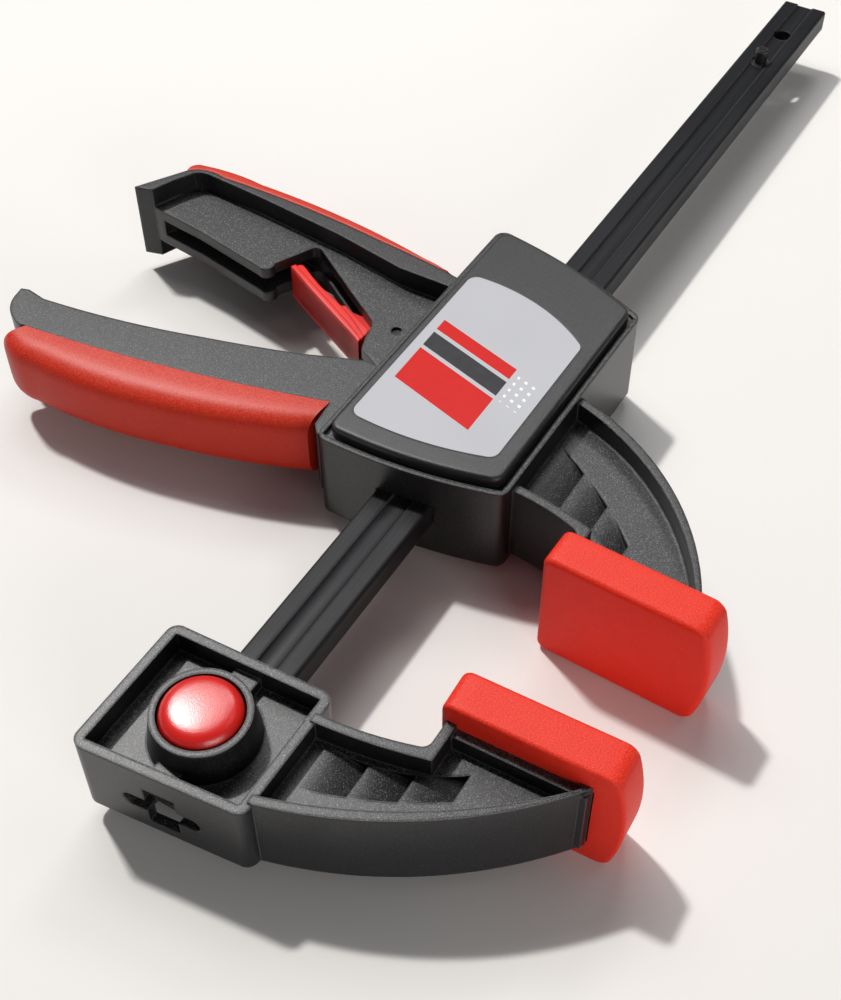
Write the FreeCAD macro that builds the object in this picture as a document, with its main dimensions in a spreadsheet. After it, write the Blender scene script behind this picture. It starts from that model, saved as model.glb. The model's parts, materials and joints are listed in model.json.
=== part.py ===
import FreeCAD, Part
import Sketcher
import math
import os
import re

# One-handed bar clamp lying on its side, in millimetres.
# The origin is the middle of the fixed jaw's clamping face. X runs along the rail from the fixed
# jaw towards the sliding jaw, Y from the jaws' tips towards the handles, Z up.
# Everything is symmetric about the plane Z = 0 unless a comment says otherwise.

SIZES = (
    # rail
    ("rail_width", 15.5, "rail across its broad faces"),
    ("rail_thickness", 7.5, "rail between its broad faces"),
    ("rail_length", 377.0, "rail from end to end"),
    ("rail_edge_radius", 0.9, "rounding of the rolled edges"),
    ("rail_groove_width", 5.6, "shallow groove along each broad face"),
    ("rail_groove_depth", 0.5, "depth of that groove"),
    ("pin_diameter", 6.0, "lock pin, and the stop pin's shank"),
    ("pin_slip", 0.08, "radial play of the lock pin in its holes"),
    ("hole_pitch", 20.2, "between the two holes at the free end"),
    ("end_margin", 22.0, "from the free end to its first hole"),
    ("stop_neck_diameter", 4.2, "stop pin above the rail"),
    ("stop_rise", 4.8, "stop pin above the rail's top face"),
    ("rail_slip", 0.1, "play round the rail in mouldings and plates"),
    # jaws in general
    ("throat_depth", 80.0, "rail's edge to the pads' tips"),
    ("rest_opening", 35.0, "between the pads as photographed"),
    ("jaw_toe", 1.8, "degrees that each pad leans in towards the tip"),
    ("pad_length", 43.5, "pad along Y"),
    ("pad_width", 35.0, "pad along Z"),
    ("pad_thickness", 11.0, "pad along X"),
    ("pad_face_thickness", 5.0, "rubber in front of the jaw's head"),
    ("pad_tip_bulge", 2.8, "how far the tip's end swells"),
    ("pad_corner_radius", 2.6, "rounding of the pad's corners"),
    ("pad_edge_radius", 1.2, "rounding round the pad's clamping face"),
    ("head_height", 21.0, "jaw's head plate along Z"),
    ("head_margin", 2.0, "pad's rubber beyond the head plate at the handle end"),
    ("head_tip_margin", 6.5, "pad's rubber beyond the head plate at the tip"),
    ("head_play", 0.2, "head plate in the pad's pocket"),
    ("arm_height", 24.0, "arm's flanges along Z"),
    ("web_height", 12.0, "arm's web along Z"),
    ("flange", 2.4, "arm's flange thickness"),
    ("scoop_depth", 3.0, "deepest point of each scoop in the web"),
    ("scoop_pitch", 10.1, "between scoops along Y"),
    # fixed jaw
    ("box_setback", 19.5, "clamping face to the box's rear wall, at the rail"),
    ("box_length", 36.8, "box along X, at the rail"),
    ("box_width", 43.4, "box along Y"),
    ("box_height", 23.0, "box along Z"),
    ("box_wall", 2.5, "box's rim"),
    ("box_front_rake", 4.5, "how much further the front wall reaches at the handle side"),
    ("box_rear_rake", 2.0, "how much further the rear wall reaches there"),
    ("box_corner_radius", 3.0, "box's upright corners"),
    ("box_floor", 5.4, "recess floor above the rail's middle plane"),
    ("box_end_wall", 3.2, "front wall in front of the rail's end"),
    ("fixed_shoulder", 3.4, "front corner of the box to the arm's outer curve"),
    ("fixed_root", 26.0, "arm's width where it leaves the box"),
    ("fixed_hook", 8.2, "arm behind the pad at its handle end"),
    ("hook_radius", 2.6, "hollow corner between the arm and the pad"),
    ("fixed_scoop_margin", 3.8, "first scoop's edge from the box"),
    ("slot_length", 19.6, "cross-shaped opening in the front wall, along Y"),
    ("slot_height", 4.4, "its long slot along Z"),
    ("slot_key_width", 8.0, "its short arm along Y"),
    ("slot_key_height", 13.4, "its short arm along Z"),
    ("slot_drop", 2.0, "middle of that opening below the rail's middle plane"),
    ("strip_width", 6.6, "raised strips fore and aft of the collar"),
    ("strip_rise", 3.0, "height of those strips"),
    # button
    ("button_setback", 19.2, "box's rear wall to the button's axis"),
    ("collar_radius", 11.8, "collar at its top"),
    ("collar_foot_radius", 13.2, "collar at the recess floor"),
    ("collar_top", 14.6, "collar's top above the rail's middle plane"),
    ("button_radius", 9.7, "button cap"),
    ("button_play", 0.35, "gap round the button cap"),
    ("button_skirt", 6.0, "height of the cap's side"),
    ("button_wall", 1.6, "thickness of the cap's side"),
    ("button_rise", 0.6, "cap's edge above the collar"),
    ("button_crown", 1.8, "dome above the cap's edge"),
    ("button_roof", 1.8, "thickness of the cap's top at its edge"),
    ("bore_floor", 5.6, "bottom of the collar's bore"),
    ("pin_overhang", 2.2, "lock pin below the lower floor"),
    ("pin_neck", 0.6, "depth of the groove for the clip"),
    ("clip_radius", 4.8, "retaining clip"),
    ("clip_thickness", 0.8, "retaining clip"),
    ("seat_gap", 0.1, "play between neighbours that meet at rest"),
    ("button_spring_radius", 5.2, "mean radius of the button's spring"),
    ("button_spring_wire", 0.8, "its wire"),
    # sliding housing
    ("housing_setback", 12.6, "sliding pad's face to the front wall, at the rail"),
    ("housing_length", 87.8, "housing along X, at the rail"),
    ("housing_width", 52.0, "housing along Y"),
    ("housing_height", 27.6, "housing's rim along Z"),
    ("housing_wall", 3.2, "housing's side walls"),
    ("housing_front_rake", 6.4, "how much further back the front wall stands at the handle side"),
    ("housing_rear_rake", 14.4, "how much further back the rear wall stands at the handle side"),
    ("housing_corner_radius", 3.2, "housing's upright corners"),
    ("housing_bulge", 2.2, "how far the front and rear walls swell at mid width"),
    ("label_bulge", 4.2, "how far the label's rear edge swells"),
    ("rim_lip", 1.4, "thin lip round the cover"),
    ("rim_groove", 0.9, "gap between the lip and the cover"),
    ("cover_seat", 1.4, "depth of the cover's seat below the rim"),
    ("cover_rise", 2.8, "cover above the rim"),
    ("cover_edge_radius", 1.1, "rounding of the cover's top edge"),
    ("cover_corner_radius", 3.4, "cover's upright corners"),
    ("label_thickness", 0.45, "label plate"),
    ("label_recess", 0.3, "label lies this deep in the cover"),
    ("label_front_margin", 6.4, "label to the cover's front edge"),
    ("label_side_margin", 2.6, "label to the cover's handle-side edge"),
    ("label_width", 40.0, "label along Y"),
    ("label_length", 55.4, "label along X between its corners"),
    ("label_corner_radius", 3.0, "label's corners"),
    ("sliding_root", 38.4, "arm's width where it leaves the housing"),
    ("sliding_shoulder", 4.2, "housing's front corner to the arm's inner curve"),
    ("sliding_hook", 4.6, "arm behind the pad at its handle end"),
    ("sliding_scoop_margin", 0.5, "first scoop's edge from the housing"),
    ("screw_radius", 1.5, "cover screw's shank"),
    ("screw_head_radius", 2.8, "cover screw's head"),
    ("screw_head_height", 1.8, "cover screw's head"),
    ("screw_drive_radius", 1.1, "recess in the screw's head"),
    ("screw_bite", 8.0, "screw's thread in the upper cover's post"),
    ("boss_radius", 4.2, "screw boss in the housing"),
    ("post_radius", 3.2, "screw post under the upper cover"),
    ("boss_play", 0.2, "play of the screw in its boss"),
    # pump lever
    ("lever_pivot_from_rail", 16.0, "lever's pivot on the jaw side of the rail's middle"),
    ("lever_pivot_from_front", 10.6, "lever's pivot behind the front wall, at the rail"),
    ("lever_reach", 148.6, "lever's tip from its pivot along Y"),
    ("lever_height", 21.0, "lever along Z"),
    ("lever_cheek", 3.3, "each side plate of the lever's channel"),
    ("lever_boss_radius", 5.0, "lever round its pivot"),
    ("lever_pin_radius", 2.5, "lever's pivot pin"),
    ("lever_pin_sink", 1.5, "pin's ends in the covers"),
    ("lever_play", 0.4, "gap round the lever in the housing's window"),
    ("pin_play", 0.05, "radial play of levers on their pins"),
    ("grip_round", 5.0, "rounding of the grip's front"),
    ("nose_above_rail", 10.0, "lowest point of the nose that pushes the drive plates"),
    ("nose_lead", 8.7, "nose behind the pivot along X"),
    # drive and brake
    ("plate_thickness", 2.5, "drive plate"),
    ("plate_height", 20.6, "drive plate along Z"),
    ("drive_plate_share", 0.5, "drive plate along Y, as a share of the housing's width"),
    ("plate_gap", 0.2, "between the drive plates"),
    ("partition_gap", 16.0, "drive plates to the partition: the drive spring's room"),
    ("partition", 2.8, "partition's thickness"),
    ("partition_reach", 18.0, "partition beyond the rail's middle on the handle side"),
    ("spring_radius", 9.9, "mean radius of the springs round the rail"),
    ("spring_wire", 1.3, "their wire"),
    ("brake_thickness", 3.0, "brake plate"),
    ("brake_tilt", 5.8, "brake plate's lean at rest, degrees"),
    ("brake_play", 0.2, "play of the rail in the leaning brake plate"),
    ("fulcrum_from_rail", 9.5, "brake plate's fulcrum, from the rail's middle"),
    ("fulcrum_reach", 1.8, "middle of the fulcrum's round nose behind the partition"),
    ("fulcrum_radius", 0.8, "fulcrum's round nose"),
    ("brake_jaw_end", 13.5, "brake plate's end on the jaw side"),
    ("brake_shoulder", 14.0, "brake plate's full-height part on the handle side"),
    ("tongue_reach", 1.4, "brake plate's tongue in the side wall's opening"),
    ("tongue_height", 5.0, "brake plate's tongue along Z"),
    ("brake_spring_front", 4.2, "brake spring behind the fulcrum"),
    ("brake_spring_length", 14.0, "brake spring at rest"),
    # rear handle and trigger
    ("handle_height", 25.0, "rear handle's outer wall along Z"),
    ("handle_reach", 106.8, "housing's side wall to the handle's tip"),
    ("strip_round", 0.9, "bevel of the soft strip's back edges"),
    ("handle_web_height", 12.5, "over the handle's two plates"),
    ("channel_height", 5.5, "between the handle's two plates"),
    ("trigger_pin_share", 0.0702, "trigger's pivot outside the side wall, as a share of the handle's reach"),
    ("trigger_pin_lead", 3.5, "trigger's pivot behind the brake plate's fulcrum"),
    ("trigger_pin_radius", 1.5, "trigger's pivot pin"),
    ("trigger_pin_sink", 0.8, "pin's ends below the plates' faces"),
    ("trigger_height", 12.0, "trigger's finger piece along Z"),
    ("trigger_shelf", 8.6, "lower shelf behind the finger piece along Z"),
    ("trigger_blade", 5.0, "trigger between the plates along Z"),
    ("trigger_reach_share", 0.3961, "trigger's tip from its pivot, as a share of the handle's reach"),
    ("tail_thickness", 4.2, "trigger's tail along X"),
    ("tail_reach", 0.5, "trigger's tail beyond the side wall's inner face"),
    ("trigger_hub_radius", 4.2, "trigger round its pivot"),
    ("tail_slot_length", 12.6, "opening for the trigger's tail along X"),
    ("overrun", 40.0, "how far through cuts run past the material"),
)

# outlines as shares of one length each
ARM_SHARES = {"fixed": ((0.364, 0.539), (0.34, 0.52)), "sliding": ((0.302, 0.545), (0.25, 0.47))}
INSET_SHARES = ((1.0, 0.0), (0.8, 0.6), (0.65, 0.75))
SCOOP_SHARES = (0.6, 0.36)
LENS_SHARES = {
    "fixed": ((0.43, 0.0), (0.63, 1.45), (0.97, 3.0), (1.26, 3.0), (1.0, 1.8), (0.89, 0.0)),
    "sliding": ((0.34, 0.0), (0.575, 1.48), (0.915, 3.0), (1.06, 3.0), (0.895, 1.45), (0.856, 0.0)),
}
LEVER_SHARES = (
    (-0.0599, 0.2557), (-0.0599, 0.2867), (-0.0713, 0.2934), (-0.0518, 0.3109), (0.0081, 0.3176),
    (-0.0215, 0.4240, -0.0545, 0.5612), (-0.0929, 0.7618, -0.1157, 0.9354),
    (-0.0989, 0.9724, -0.0612, 0.9953), (-0.0363, 1.0000), (-0.0310, 0.9838), (-0.0377, 0.9421),
    (-0.0215, 0.8311, 0.0283, 0.6225), (0.0552, 0.5289, 0.0848, 0.4367), (0.1306, 0.3237),
    (0.1306, 0.2826), (0.1063, 0.2557))
CHANNEL_SHARES = (
    (-0.0330, 0.2288), (-0.0330, 0.2900), (0.0310, 0.3220), (0.0010, 0.4240, -0.0330, 0.5612),
    (-0.0720, 0.7618, -0.0900, 0.9254), (-0.0860, 0.9440, -0.0740, 0.9500), (-0.0377, 0.9421))
GRIP_SHARES = (
    (0.0081, 0.3176), (-0.0215, 0.4240, -0.0545, 0.5612), (-0.0929, 0.7618, -0.1157, 0.9354),
    (-0.1225, 0.9637, -0.1427, 0.9623), (-0.1696, 0.9253, -0.1763, 0.8681),
    (-0.1743, 0.7436, -0.1534, 0.6151), (-0.1144, 0.4657, -0.0592, 0.3244), (-0.0400, 0.3400))
BACK_SHARES = (
    (0.1657, -0.0100), (0.2032, -0.0100), (0.2082, 0.0120), (0.2219, 0.1170, 0.2341, 0.2575),
    (0.2537, 0.5431, 0.2491, 0.8099), (0.2528, 0.8661, 0.2219, 0.9195), (0.0843, 1.0000), (0.0983, 0.9494),
    (0.1695, 0.9223), (0.2256, 0.8933), (0.2369, 0.8745, 0.2397, 0.8408), (0.2285, 0.6657),
    (0.2004, 0.3773), (0.1639, 0.1610))
STRIP_SHARES = (
    (0.2219, 0.1170, 0.2082, 0.0120), (0.2294, 0.0360, 0.2350, 0.1245), (0.2743, 0.4120, 0.2809, 0.6929),
    (0.2837, 0.8052, 0.2715, 0.8914), (0.2631, 0.9139, 0.2219, 0.9195), (0.2528, 0.8661, 0.2491, 0.8099),
    (0.2537, 0.5431, 0.2341, 0.2575))
PLATE_SHARES = (
    (-0.1573, -0.0100), (-0.1573, 0.0000), (-0.1386, 0.0487), (-0.1058, 0.1124), (-0.0646, 0.1264),
    (-0.0122, 0.1376), (0.0037, 0.1507), (0.0768, 0.2669), (0.1807, 0.4270),
    (0.1788, 0.4457, 0.1695, 0.4541), (0.1348, 0.4700), (0.0637, 0.5047), (0.0290, 0.5169, 0.0309, 0.5375),
    (0.0749, 0.7706), (0.0936, 0.9279), (0.0983, 0.9494), (0.1695, 0.9223), (0.2331, 0.8801),
    (0.2303, 0.6657), (0.2022, 0.3773), (0.1657, 0.1610), (0.1676, -0.0100))
GAP_SHARES = (
    (-0.1760, 0.0000), (0.1440, 0.0000), (0.1440, 0.1610), (0.1840, 0.3900), (0.2090, 0.6657),
    (0.2140, 0.8700), (0.1040, 0.9150), (-0.0560, 0.9150))
FINGER_SHARES = (
    (0.1962, 1.0000), (0.0520, 0.7447, -0.1182, 0.3428), (-0.1726, 0.2388, -0.2199, 0.1584),
    (-0.1206, 0.1726), (-0.0213, 0.3333, 0.1513, 0.7116), (0.2719, 0.9149),
    (0.2837, 0.9433, 0.2742, 0.9622))
SHELF_SHARES = (
    (-0.1608, 0.1678), (-0.0402, 0.1820), (0.0922, 0.4610), (0.0709, 0.5083, 0.0827, 0.5485),
    (0.2600, 0.8913), (0.2057, 0.9243), (-0.0165, 0.5083))
BLADE_SHARES = (
    (-0.0980, 0.0000), (0.0980, 0.0000), (0.0898, 0.2955), (0.0880, 0.4610), (-0.0071, 0.4846),
    (-0.1253, 0.2100))
SCREW_SHARES = ((0.255, 0.131), (0.845, 0.131), (0.945, 0.869))
NOSE_SHARE = 0.6
COIL_STEPS = 16
WIRE_SIDES = 6

doc = FreeCAD.newDocument("bar_clamp")
sheet = doc.addObject("Spreadsheet::Sheet", "Sizes")
for row, (alias, number, note) in enumerate(SIZES, start=1):
    sheet.set("A%d" % row, alias)
    sheet.set("B%d" % row, str(number))
    sheet.setAlias("B%d" % row, alias)
    sheet.set("C%d" % row, note)
doc.recompute()

ALIASES = {alias for alias, number, note in SIZES}
SUBPARTS = []


def link(words):
    """An expression of sheet names, as other objects of the document have to write it."""
    return re.sub(r"[a-z][a-z_]*", lambda found: "Sizes." + found.group(0)
                  if found.group(0) in ALIASES else found.group(0), words)


def size(words):
    """The number that an expression of sheet names gives now."""
    return float(sheet.evalExpression(words))


# places that several pieces share, all worked out from the sheet
RAIL_Y = "(throat_depth + rail_width / 2 - pad_length / 2)"
BOX_REAR = "(-box_setback)"
BOX_FRONT = "(-box_setback - box_length)"
BOX_HANDLE_Y = "(%s + box_width / 2)" % RAIL_Y
BOX_JAW_Y = "(%s - box_width / 2)" % RAIL_Y
BUTTON_X = "(-box_setback - button_setback)"
RAIL_START = "(%s + box_end_wall)" % BOX_FRONT
RAIL_END = "(%s + rail_length)" % RAIL_START
STOP_X = "(%s - end_margin - hole_pitch)" % RAIL_END
HOUSING_FRONT = "(rest_opening + housing_setback)"
HOUSING_REAR = "(%s + housing_length)" % HOUSING_FRONT
HOUSING_HANDLE_Y = "(%s + housing_width / 2)" % RAIL_Y
HOUSING_JAW_Y = "(%s - housing_width / 2)" % RAIL_Y
COVER_INSET = "(rim_lip + rim_groove)"
COVER_SEAT_Z = "(housing_height / 2 - cover_seat)"
COVER_TOP_Z = "(housing_height / 2 + cover_rise)"
LEVER_X = "(%s + lever_pivot_from_front)" % HOUSING_FRONT
LEVER_Y = "(%s - lever_pivot_from_rail)" % RAIL_Y
NOSE_X = "(%s + nose_lead)" % LEVER_X
NOSE_Y = "(%s + nose_above_rail)" % RAIL_Y
PLATES_X = "(%s + seat_gap)" % NOSE_X
PLATES_END = "(%s + 2 * plate_thickness + plate_gap)" % PLATES_X
PARTITION_X = "(%s + partition_gap)" % PLATES_END
FULCRUM_X = "(%s + partition + fulcrum_reach)" % PARTITION_X
FULCRUM_Y = "(%s + fulcrum_from_rail)" % RAIL_Y
BRAKE_SPRING_X = "(%s + brake_spring_front)" % FULCRUM_X
SEAT_X = "(%s + brake_spring_length)" % BRAKE_SPRING_X
TRIGGER_X = "(%s + trigger_pin_lead)" % FULCRUM_X
TRIGGER_Y = "(%s + trigger_pin_share * handle_reach)" % HOUSING_HANDLE_Y
TRIGGER_REACH = "(trigger_reach_share * handle_reach)"
TONGUE_END = "(housing_width / 2 - housing_wall + tongue_reach - fulcrum_from_rail)"
TONGUE_BACK = "(fulcrum_radius + seat_gap + brake_thickness)"
TONGUE_X = "(%s + %s * cos(brake_tilt) + %s * sin(brake_tilt) + seat_gap)" % (
    FULCRUM_X, TONGUE_BACK, TONGUE_END)


def front_x(y, inset="0"):
    """X of the housing's front wall at a height Y, moved in by an inset."""
    return "(%s + (%s - %s) * housing_front_rake / housing_width + %s)" % (
        HOUSING_FRONT, RAIL_Y, y, inset)


def rear_x(y, inset="0"):
    """X of the housing's rear wall at a height Y, moved in by an inset."""
    return "(%s - (%s - %s) * housing_rear_rake / housing_width - %s)" % (HOUSING_REAR, RAIL_Y, y, inset)


def box_front_x(y, inset="0"):
    """X of the fixed box's front wall at a height Y, moved in by an inset."""
    return "(%s + (%s - %s) * box_front_rake / box_width + %s)" % (BOX_FRONT, RAIL_Y, y, inset)


def box_rear_x(y, inset="0"):
    """X of the fixed box's rear wall at a height Y, moved in by an inset."""
    return "(%s + (%s - %s) * box_rear_rake / box_width - %s)" % (BOX_REAR, RAIL_Y, y, inset)


def housing_corners(inset="0"):
    """The housing's outline moved in by an inset, anticlockwise from the front jaw corner."""
    low = "(%s + %s)" % (HOUSING_JAW_Y, inset)
    high = "(%s - %s)" % (HOUSING_HANDLE_Y, inset)
    front_middle = "(%s - housing_bulge)" % front_x(RAIL_Y, inset)
    rear_middle = "(%s + housing_bulge)" % rear_x(RAIL_Y, inset)
    return [(front_middle, RAIL_Y, front_x(low, inset), low), (rear_x(low, inset), low),
            (rear_middle, RAIL_Y, rear_x(high, inset), high), (front_x(high, inset), high)]


def box_corners(inset="0"):
    """The fixed box's outline moved in by an inset."""
    low = "(%s + %s)" % (BOX_JAW_Y, inset)
    high = "(%s - %s)" % (BOX_HANDLE_Y, inset)
    return [(box_front_x(low, inset), low), (box_rear_x(low, inset), low), (box_rear_x(high, inset), high),
            (box_front_x(high, inset), high)]


def new_body(label):
    """A sub-part made of sketches and features."""
    body = doc.addObject("PartDesign::Body", label)
    body.Label = label
    return body


def plane_of(body, role):
    """One of a body's own origin planes."""
    return [item for item in body.Origin.OriginFeatures if item.Role == role][0]


def new_sketch(body, name, role="XY_Plane", lift=None):
    """A sketch on an origin plane, lifted off it where the piece starts higher."""
    sketch = body.newObject("Sketcher::SketchObject", body.Name + "_" + name)
    sketch.AttachmentSupport = [(plane_of(body, role), "")]
    sketch.MapMode = "FlatFace"
    if lift:
        sketch.setExpression("AttachmentOffset.Base.z", link(lift))
    return sketch


def pin_down(sketch, geometry, end, x, y):
    """Ties one point of a sketch to the sheet."""
    for kind, words in (("DistanceX", x), ("DistanceY", y)):
        number = sketch.addConstraint(Sketcher.Constraint(kind, -1, 1, geometry, end, size(words)))
        sketch.setExpression("Constraints[%d]" % number, link(words))


def at(x, y):
    """A point from two expressions."""
    return FreeCAD.Vector(size(x), size(y), 0)


def trace(sketch, steps):
    """Closes an outline. A step is (x, y) for a straight run to a corner, or
    (through x, through y, x, y) for an arc through one point to the next corner. The first step
    is the corner that the outline comes back to."""
    corners = [step[-2:] for step in steps]
    first = None
    last = None
    for index, step in enumerate(steps):
        start, stop = at(*corners[index - 1]), at(*step[-2:])
        entry, leave = 1, 2
        if len(step) == 4:
            through = at(*step[:2])
            turn = (through - start).cross(stop - through).z
            if turn < 0:
                entry, leave = 2, 1
            ends = (start, stop) if turn > 0 else (stop, start)
            piece = sketch.addGeometry(Part.Arc(ends[0], through, ends[1]))
            middle = sketch.addGeometry(Part.Point(through), True)
            sketch.addConstraint(Sketcher.Constraint("PointOnObject", middle, 1, piece))
            pin_down(sketch, middle, 1, *step[:2])
        else:
            piece = sketch.addGeometry(Part.LineSegment(start, stop))
        pin_down(sketch, piece, leave, *step[-2:])
        if last is None:
            first = (piece, entry)
        else:
            sketch.addConstraint(Sketcher.Constraint("Coincident", last[0], last[1], piece, entry))
        last = (piece, leave)
    sketch.addConstraint(Sketcher.Constraint("Coincident", last[0], last[1], first[0], first[1]))


def spread(shares, x, y, length):
    """Turns an outline in shares of a length into expressions."""
    steps = []
    for step in shares:
        words = []
        for index, share in enumerate(step):
            words.append("%s + (%s) * %s" % ((x, y)[index % 2], share, length))
        steps.append(tuple(words))
    return steps


def ring(sketch, x, y, radius):
    """A circle tied to the sheet."""
    circle = sketch.addGeometry(Part.Circle(at(x, y), FreeCAD.Vector(0, 0, 1), size(radius)))
    pin_down(sketch, circle, 3, x, y)
    number = sketch.addConstraint(Sketcher.Constraint("Radius", circle, size(radius)))
    sketch.setExpression("Constraints[%d]" % number, link(radius))


def rectangle(sketch, left, low, right, high):
    """An upright rectangle from four expressions."""
    trace(sketch, [(left, low), (right, low), (right, high), (left, high)])


def extrude(body, sketch, kind, length, symmetric=False, backwards=False):
    """A Pad or Pocket of a sketch."""
    feature = body.newObject("PartDesign::" + kind, sketch.Name + "_" + kind.lower())
    feature.Profile = sketch
    feature.SideType = "Symmetric" if symmetric else "One side"
    feature.Reversed = backwards
    feature.setExpression("Length", link(length))
    body.Tip = feature
    doc.recompute()
    return feature


def pad(body, sketch, length, **how):
    """Adds a sketch's area."""
    return extrude(body, sketch, "Pad", length, **how)


def pocket(body, sketch, length, **how):
    """Cuts a sketch's area, and makes sure that it cut something."""
    before = body.Shape.Volume
    feature = extrude(body, sketch, "Pocket", length, **how)
    if body.Shape.Volume >= before:
        raise RuntimeError(sketch.Name + " cuts nothing")
    return feature


def round_edges(body, radius, chosen, kind="Fillet"):
    """Rounds or chamfers the edges that a test picks from the body so far."""
    base = body.Tip
    names = ["Edge%d" % number for number, edge in enumerate(base.Shape.Edges, start=1) if chosen(edge)]
    if not names:
        raise RuntimeError(body.Name + ": no edge to round")
    feature = body.newObject("PartDesign::" + kind, "%s_%s%d" % (body.Name, kind.lower(), len(body.Group)))
    feature.Base = (base, names)
    feature.setExpression("Radius" if kind == "Fillet" else "Size", link(radius))
    body.Tip = feature
    doc.recompute()
    return feature


def upright_at(corners):
    """A test for upright edges that stand at given places."""
    places = [at(*corner[-2:]) for corner in corners]
    near = size("seat_gap")

    def chosen(edge):
        ends = [vertex.Point for vertex in edge.Vertexes]
        if len(ends) < 2 or abs(ends[0].z - ends[1].z) < near:
            return False
        if math.hypot(ends[0].x - ends[1].x, ends[0].y - ends[1].y) > near:
            return False
        return any(math.hypot(ends[0].x - place.x, ends[0].y - place.y) < near for place in places)
    return chosen


def run_between(corners, height):
    """A test for edges at a distance above or below Z = 0 that run from one given place to another."""
    places = [at(*corner[-2:]) for corner in corners]
    z = size(height)
    near = size("seat_gap")

    def chosen(edge):
        ends = [vertex.Point for vertex in edge.Vertexes]
        if len(ends) != 2 or abs(ends[0].z - ends[1].z) > near or abs(abs(ends[0].z) - z) > near:
            return False
        return all(any(math.hypot(end.x - place.x, end.y - place.y) < near for place in places)
                   for end in ends)
    return chosen


def level_at(height):
    """A test for edges that lie at a height Z."""
    z = size(height)
    near = size("seat_gap") / 4

    def chosen(edge):
        box = edge.BoundBox
        return abs(box.ZMin - z) < near and abs(box.ZMax - z) < near
    return chosen


def keep(item, label=None):
    """Notes a finished sub-part."""
    if label:
        item.Label = label
    SUBPARTS.append(item)
    return item


# rail: cold drawn flat steel with rounded edges and a shallow groove in each broad face
def make_rail():
    body = new_body("rail")
    flat = new_sketch(body, "plan")
    low, high = "%s - rail_width / 2" % RAIL_Y, "%s + rail_width / 2" % RAIL_Y
    rectangle(flat, RAIL_START, low, RAIL_END, high)
    pad(body, flat, "rail_thickness", symmetric=True)
    half = size("rail_thickness") / 2
    edges = [at(RAIL_START, low).y, at(RAIL_START, high).y]

    def long_edge(edge):
        box = edge.BoundBox
        return box.XLength > size("rail_length") / 2 and abs(abs(box.ZMax) - half) < size("seat_gap") \
            and min(abs(box.YMin - place) for place in edges) < size("seat_gap")
    round_edges(body, "rail_edge_radius", long_edge)
    for side, name in (("rail_thickness / 2", "top_groove"), ("-rail_thickness / 2", "bottom_groove")):
        groove = new_sketch(body, name, lift=side)
        rectangle(groove, "%s - overrun" % RAIL_START, "%s - rail_groove_width / 2" % RAIL_Y,
                  "%s + overrun" % RAIL_END, "%s + rail_groove_width / 2" % RAIL_Y)
        pocket(body, groove, "rail_groove_depth", backwards=side.startswith("-"))
    holes = new_sketch(body, "holes")
    for place in (BUTTON_X, STOP_X, "%s - end_margin" % RAIL_END):
        ring(holes, place, RAIL_Y, "pin_diameter / 2 + pin_slip")
    pocket(body, holes, "rail_thickness + overrun", symmetric=True)
    return keep(body)


# stop pin: turned steel, its shank held in the rail and its neck standing above it
def make_stop_pin():
    body = new_body("stop_pin")
    shank = new_sketch(body, "shank", lift="-rail_thickness / 2")
    ring(shank, STOP_X, RAIL_Y, "pin_diameter / 2 + pin_slip")
    pad(body, shank, "rail_thickness - rail_groove_depth")
    neck = new_sketch(body, "neck")
    ring(neck, STOP_X, RAIL_Y, "stop_neck_diameter / 2")
    pad(body, neck, "rail_thickness / 2 + stop_rise")
    round_edges(body, "stop_neck_diameter / 8", level_at("rail_thickness / 2 + stop_rise"), "Chamfer")
    return keep(body)


# the three scoops that lighten an arm's web on both faces: a saw-toothed row of curved cuts whose
# outline in plan is a lens
def scoop_body(label, top, lens):
    body = new_body(label)
    teeth = new_sketch(body, "teeth", role="YZ_Plane")
    along, down = SCOOP_SHARES
    for face in ("", "-"):
        level = "%s(web_height / 2)" % face
        deep = "%s(web_height / 2 - scoop_depth)" % face
        partly = "%s(web_height / 2 - %s * scoop_depth)" % (face, down)
        above = "%s(web_height / 2 + flange)" % face
        steps = [(top, level)]
        for number in range(3):
            low = "%s - %d * scoop_pitch" % (top, number + 1)
            steps.append(("%s - (%d + %s) * scoop_pitch" % (top, number, along), partly, low, deep))
            steps.append((low, level if number < 2 else above))
        trace(teeth, steps + [(top, above)])
    pad(body, teeth, "2 * rest_opening + 2 * housing_length", symmetric=True)
    outside = new_sketch(body, "outside")
    rectangle(outside, "-housing_length - 2 * rest_opening", "-throat_depth",
              "housing_length + 2 * rest_opening", "throat_depth")
    trace(outside, lens)
    pocket(body, outside, "arm_height + overrun", symmetric=True)
    return body


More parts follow.
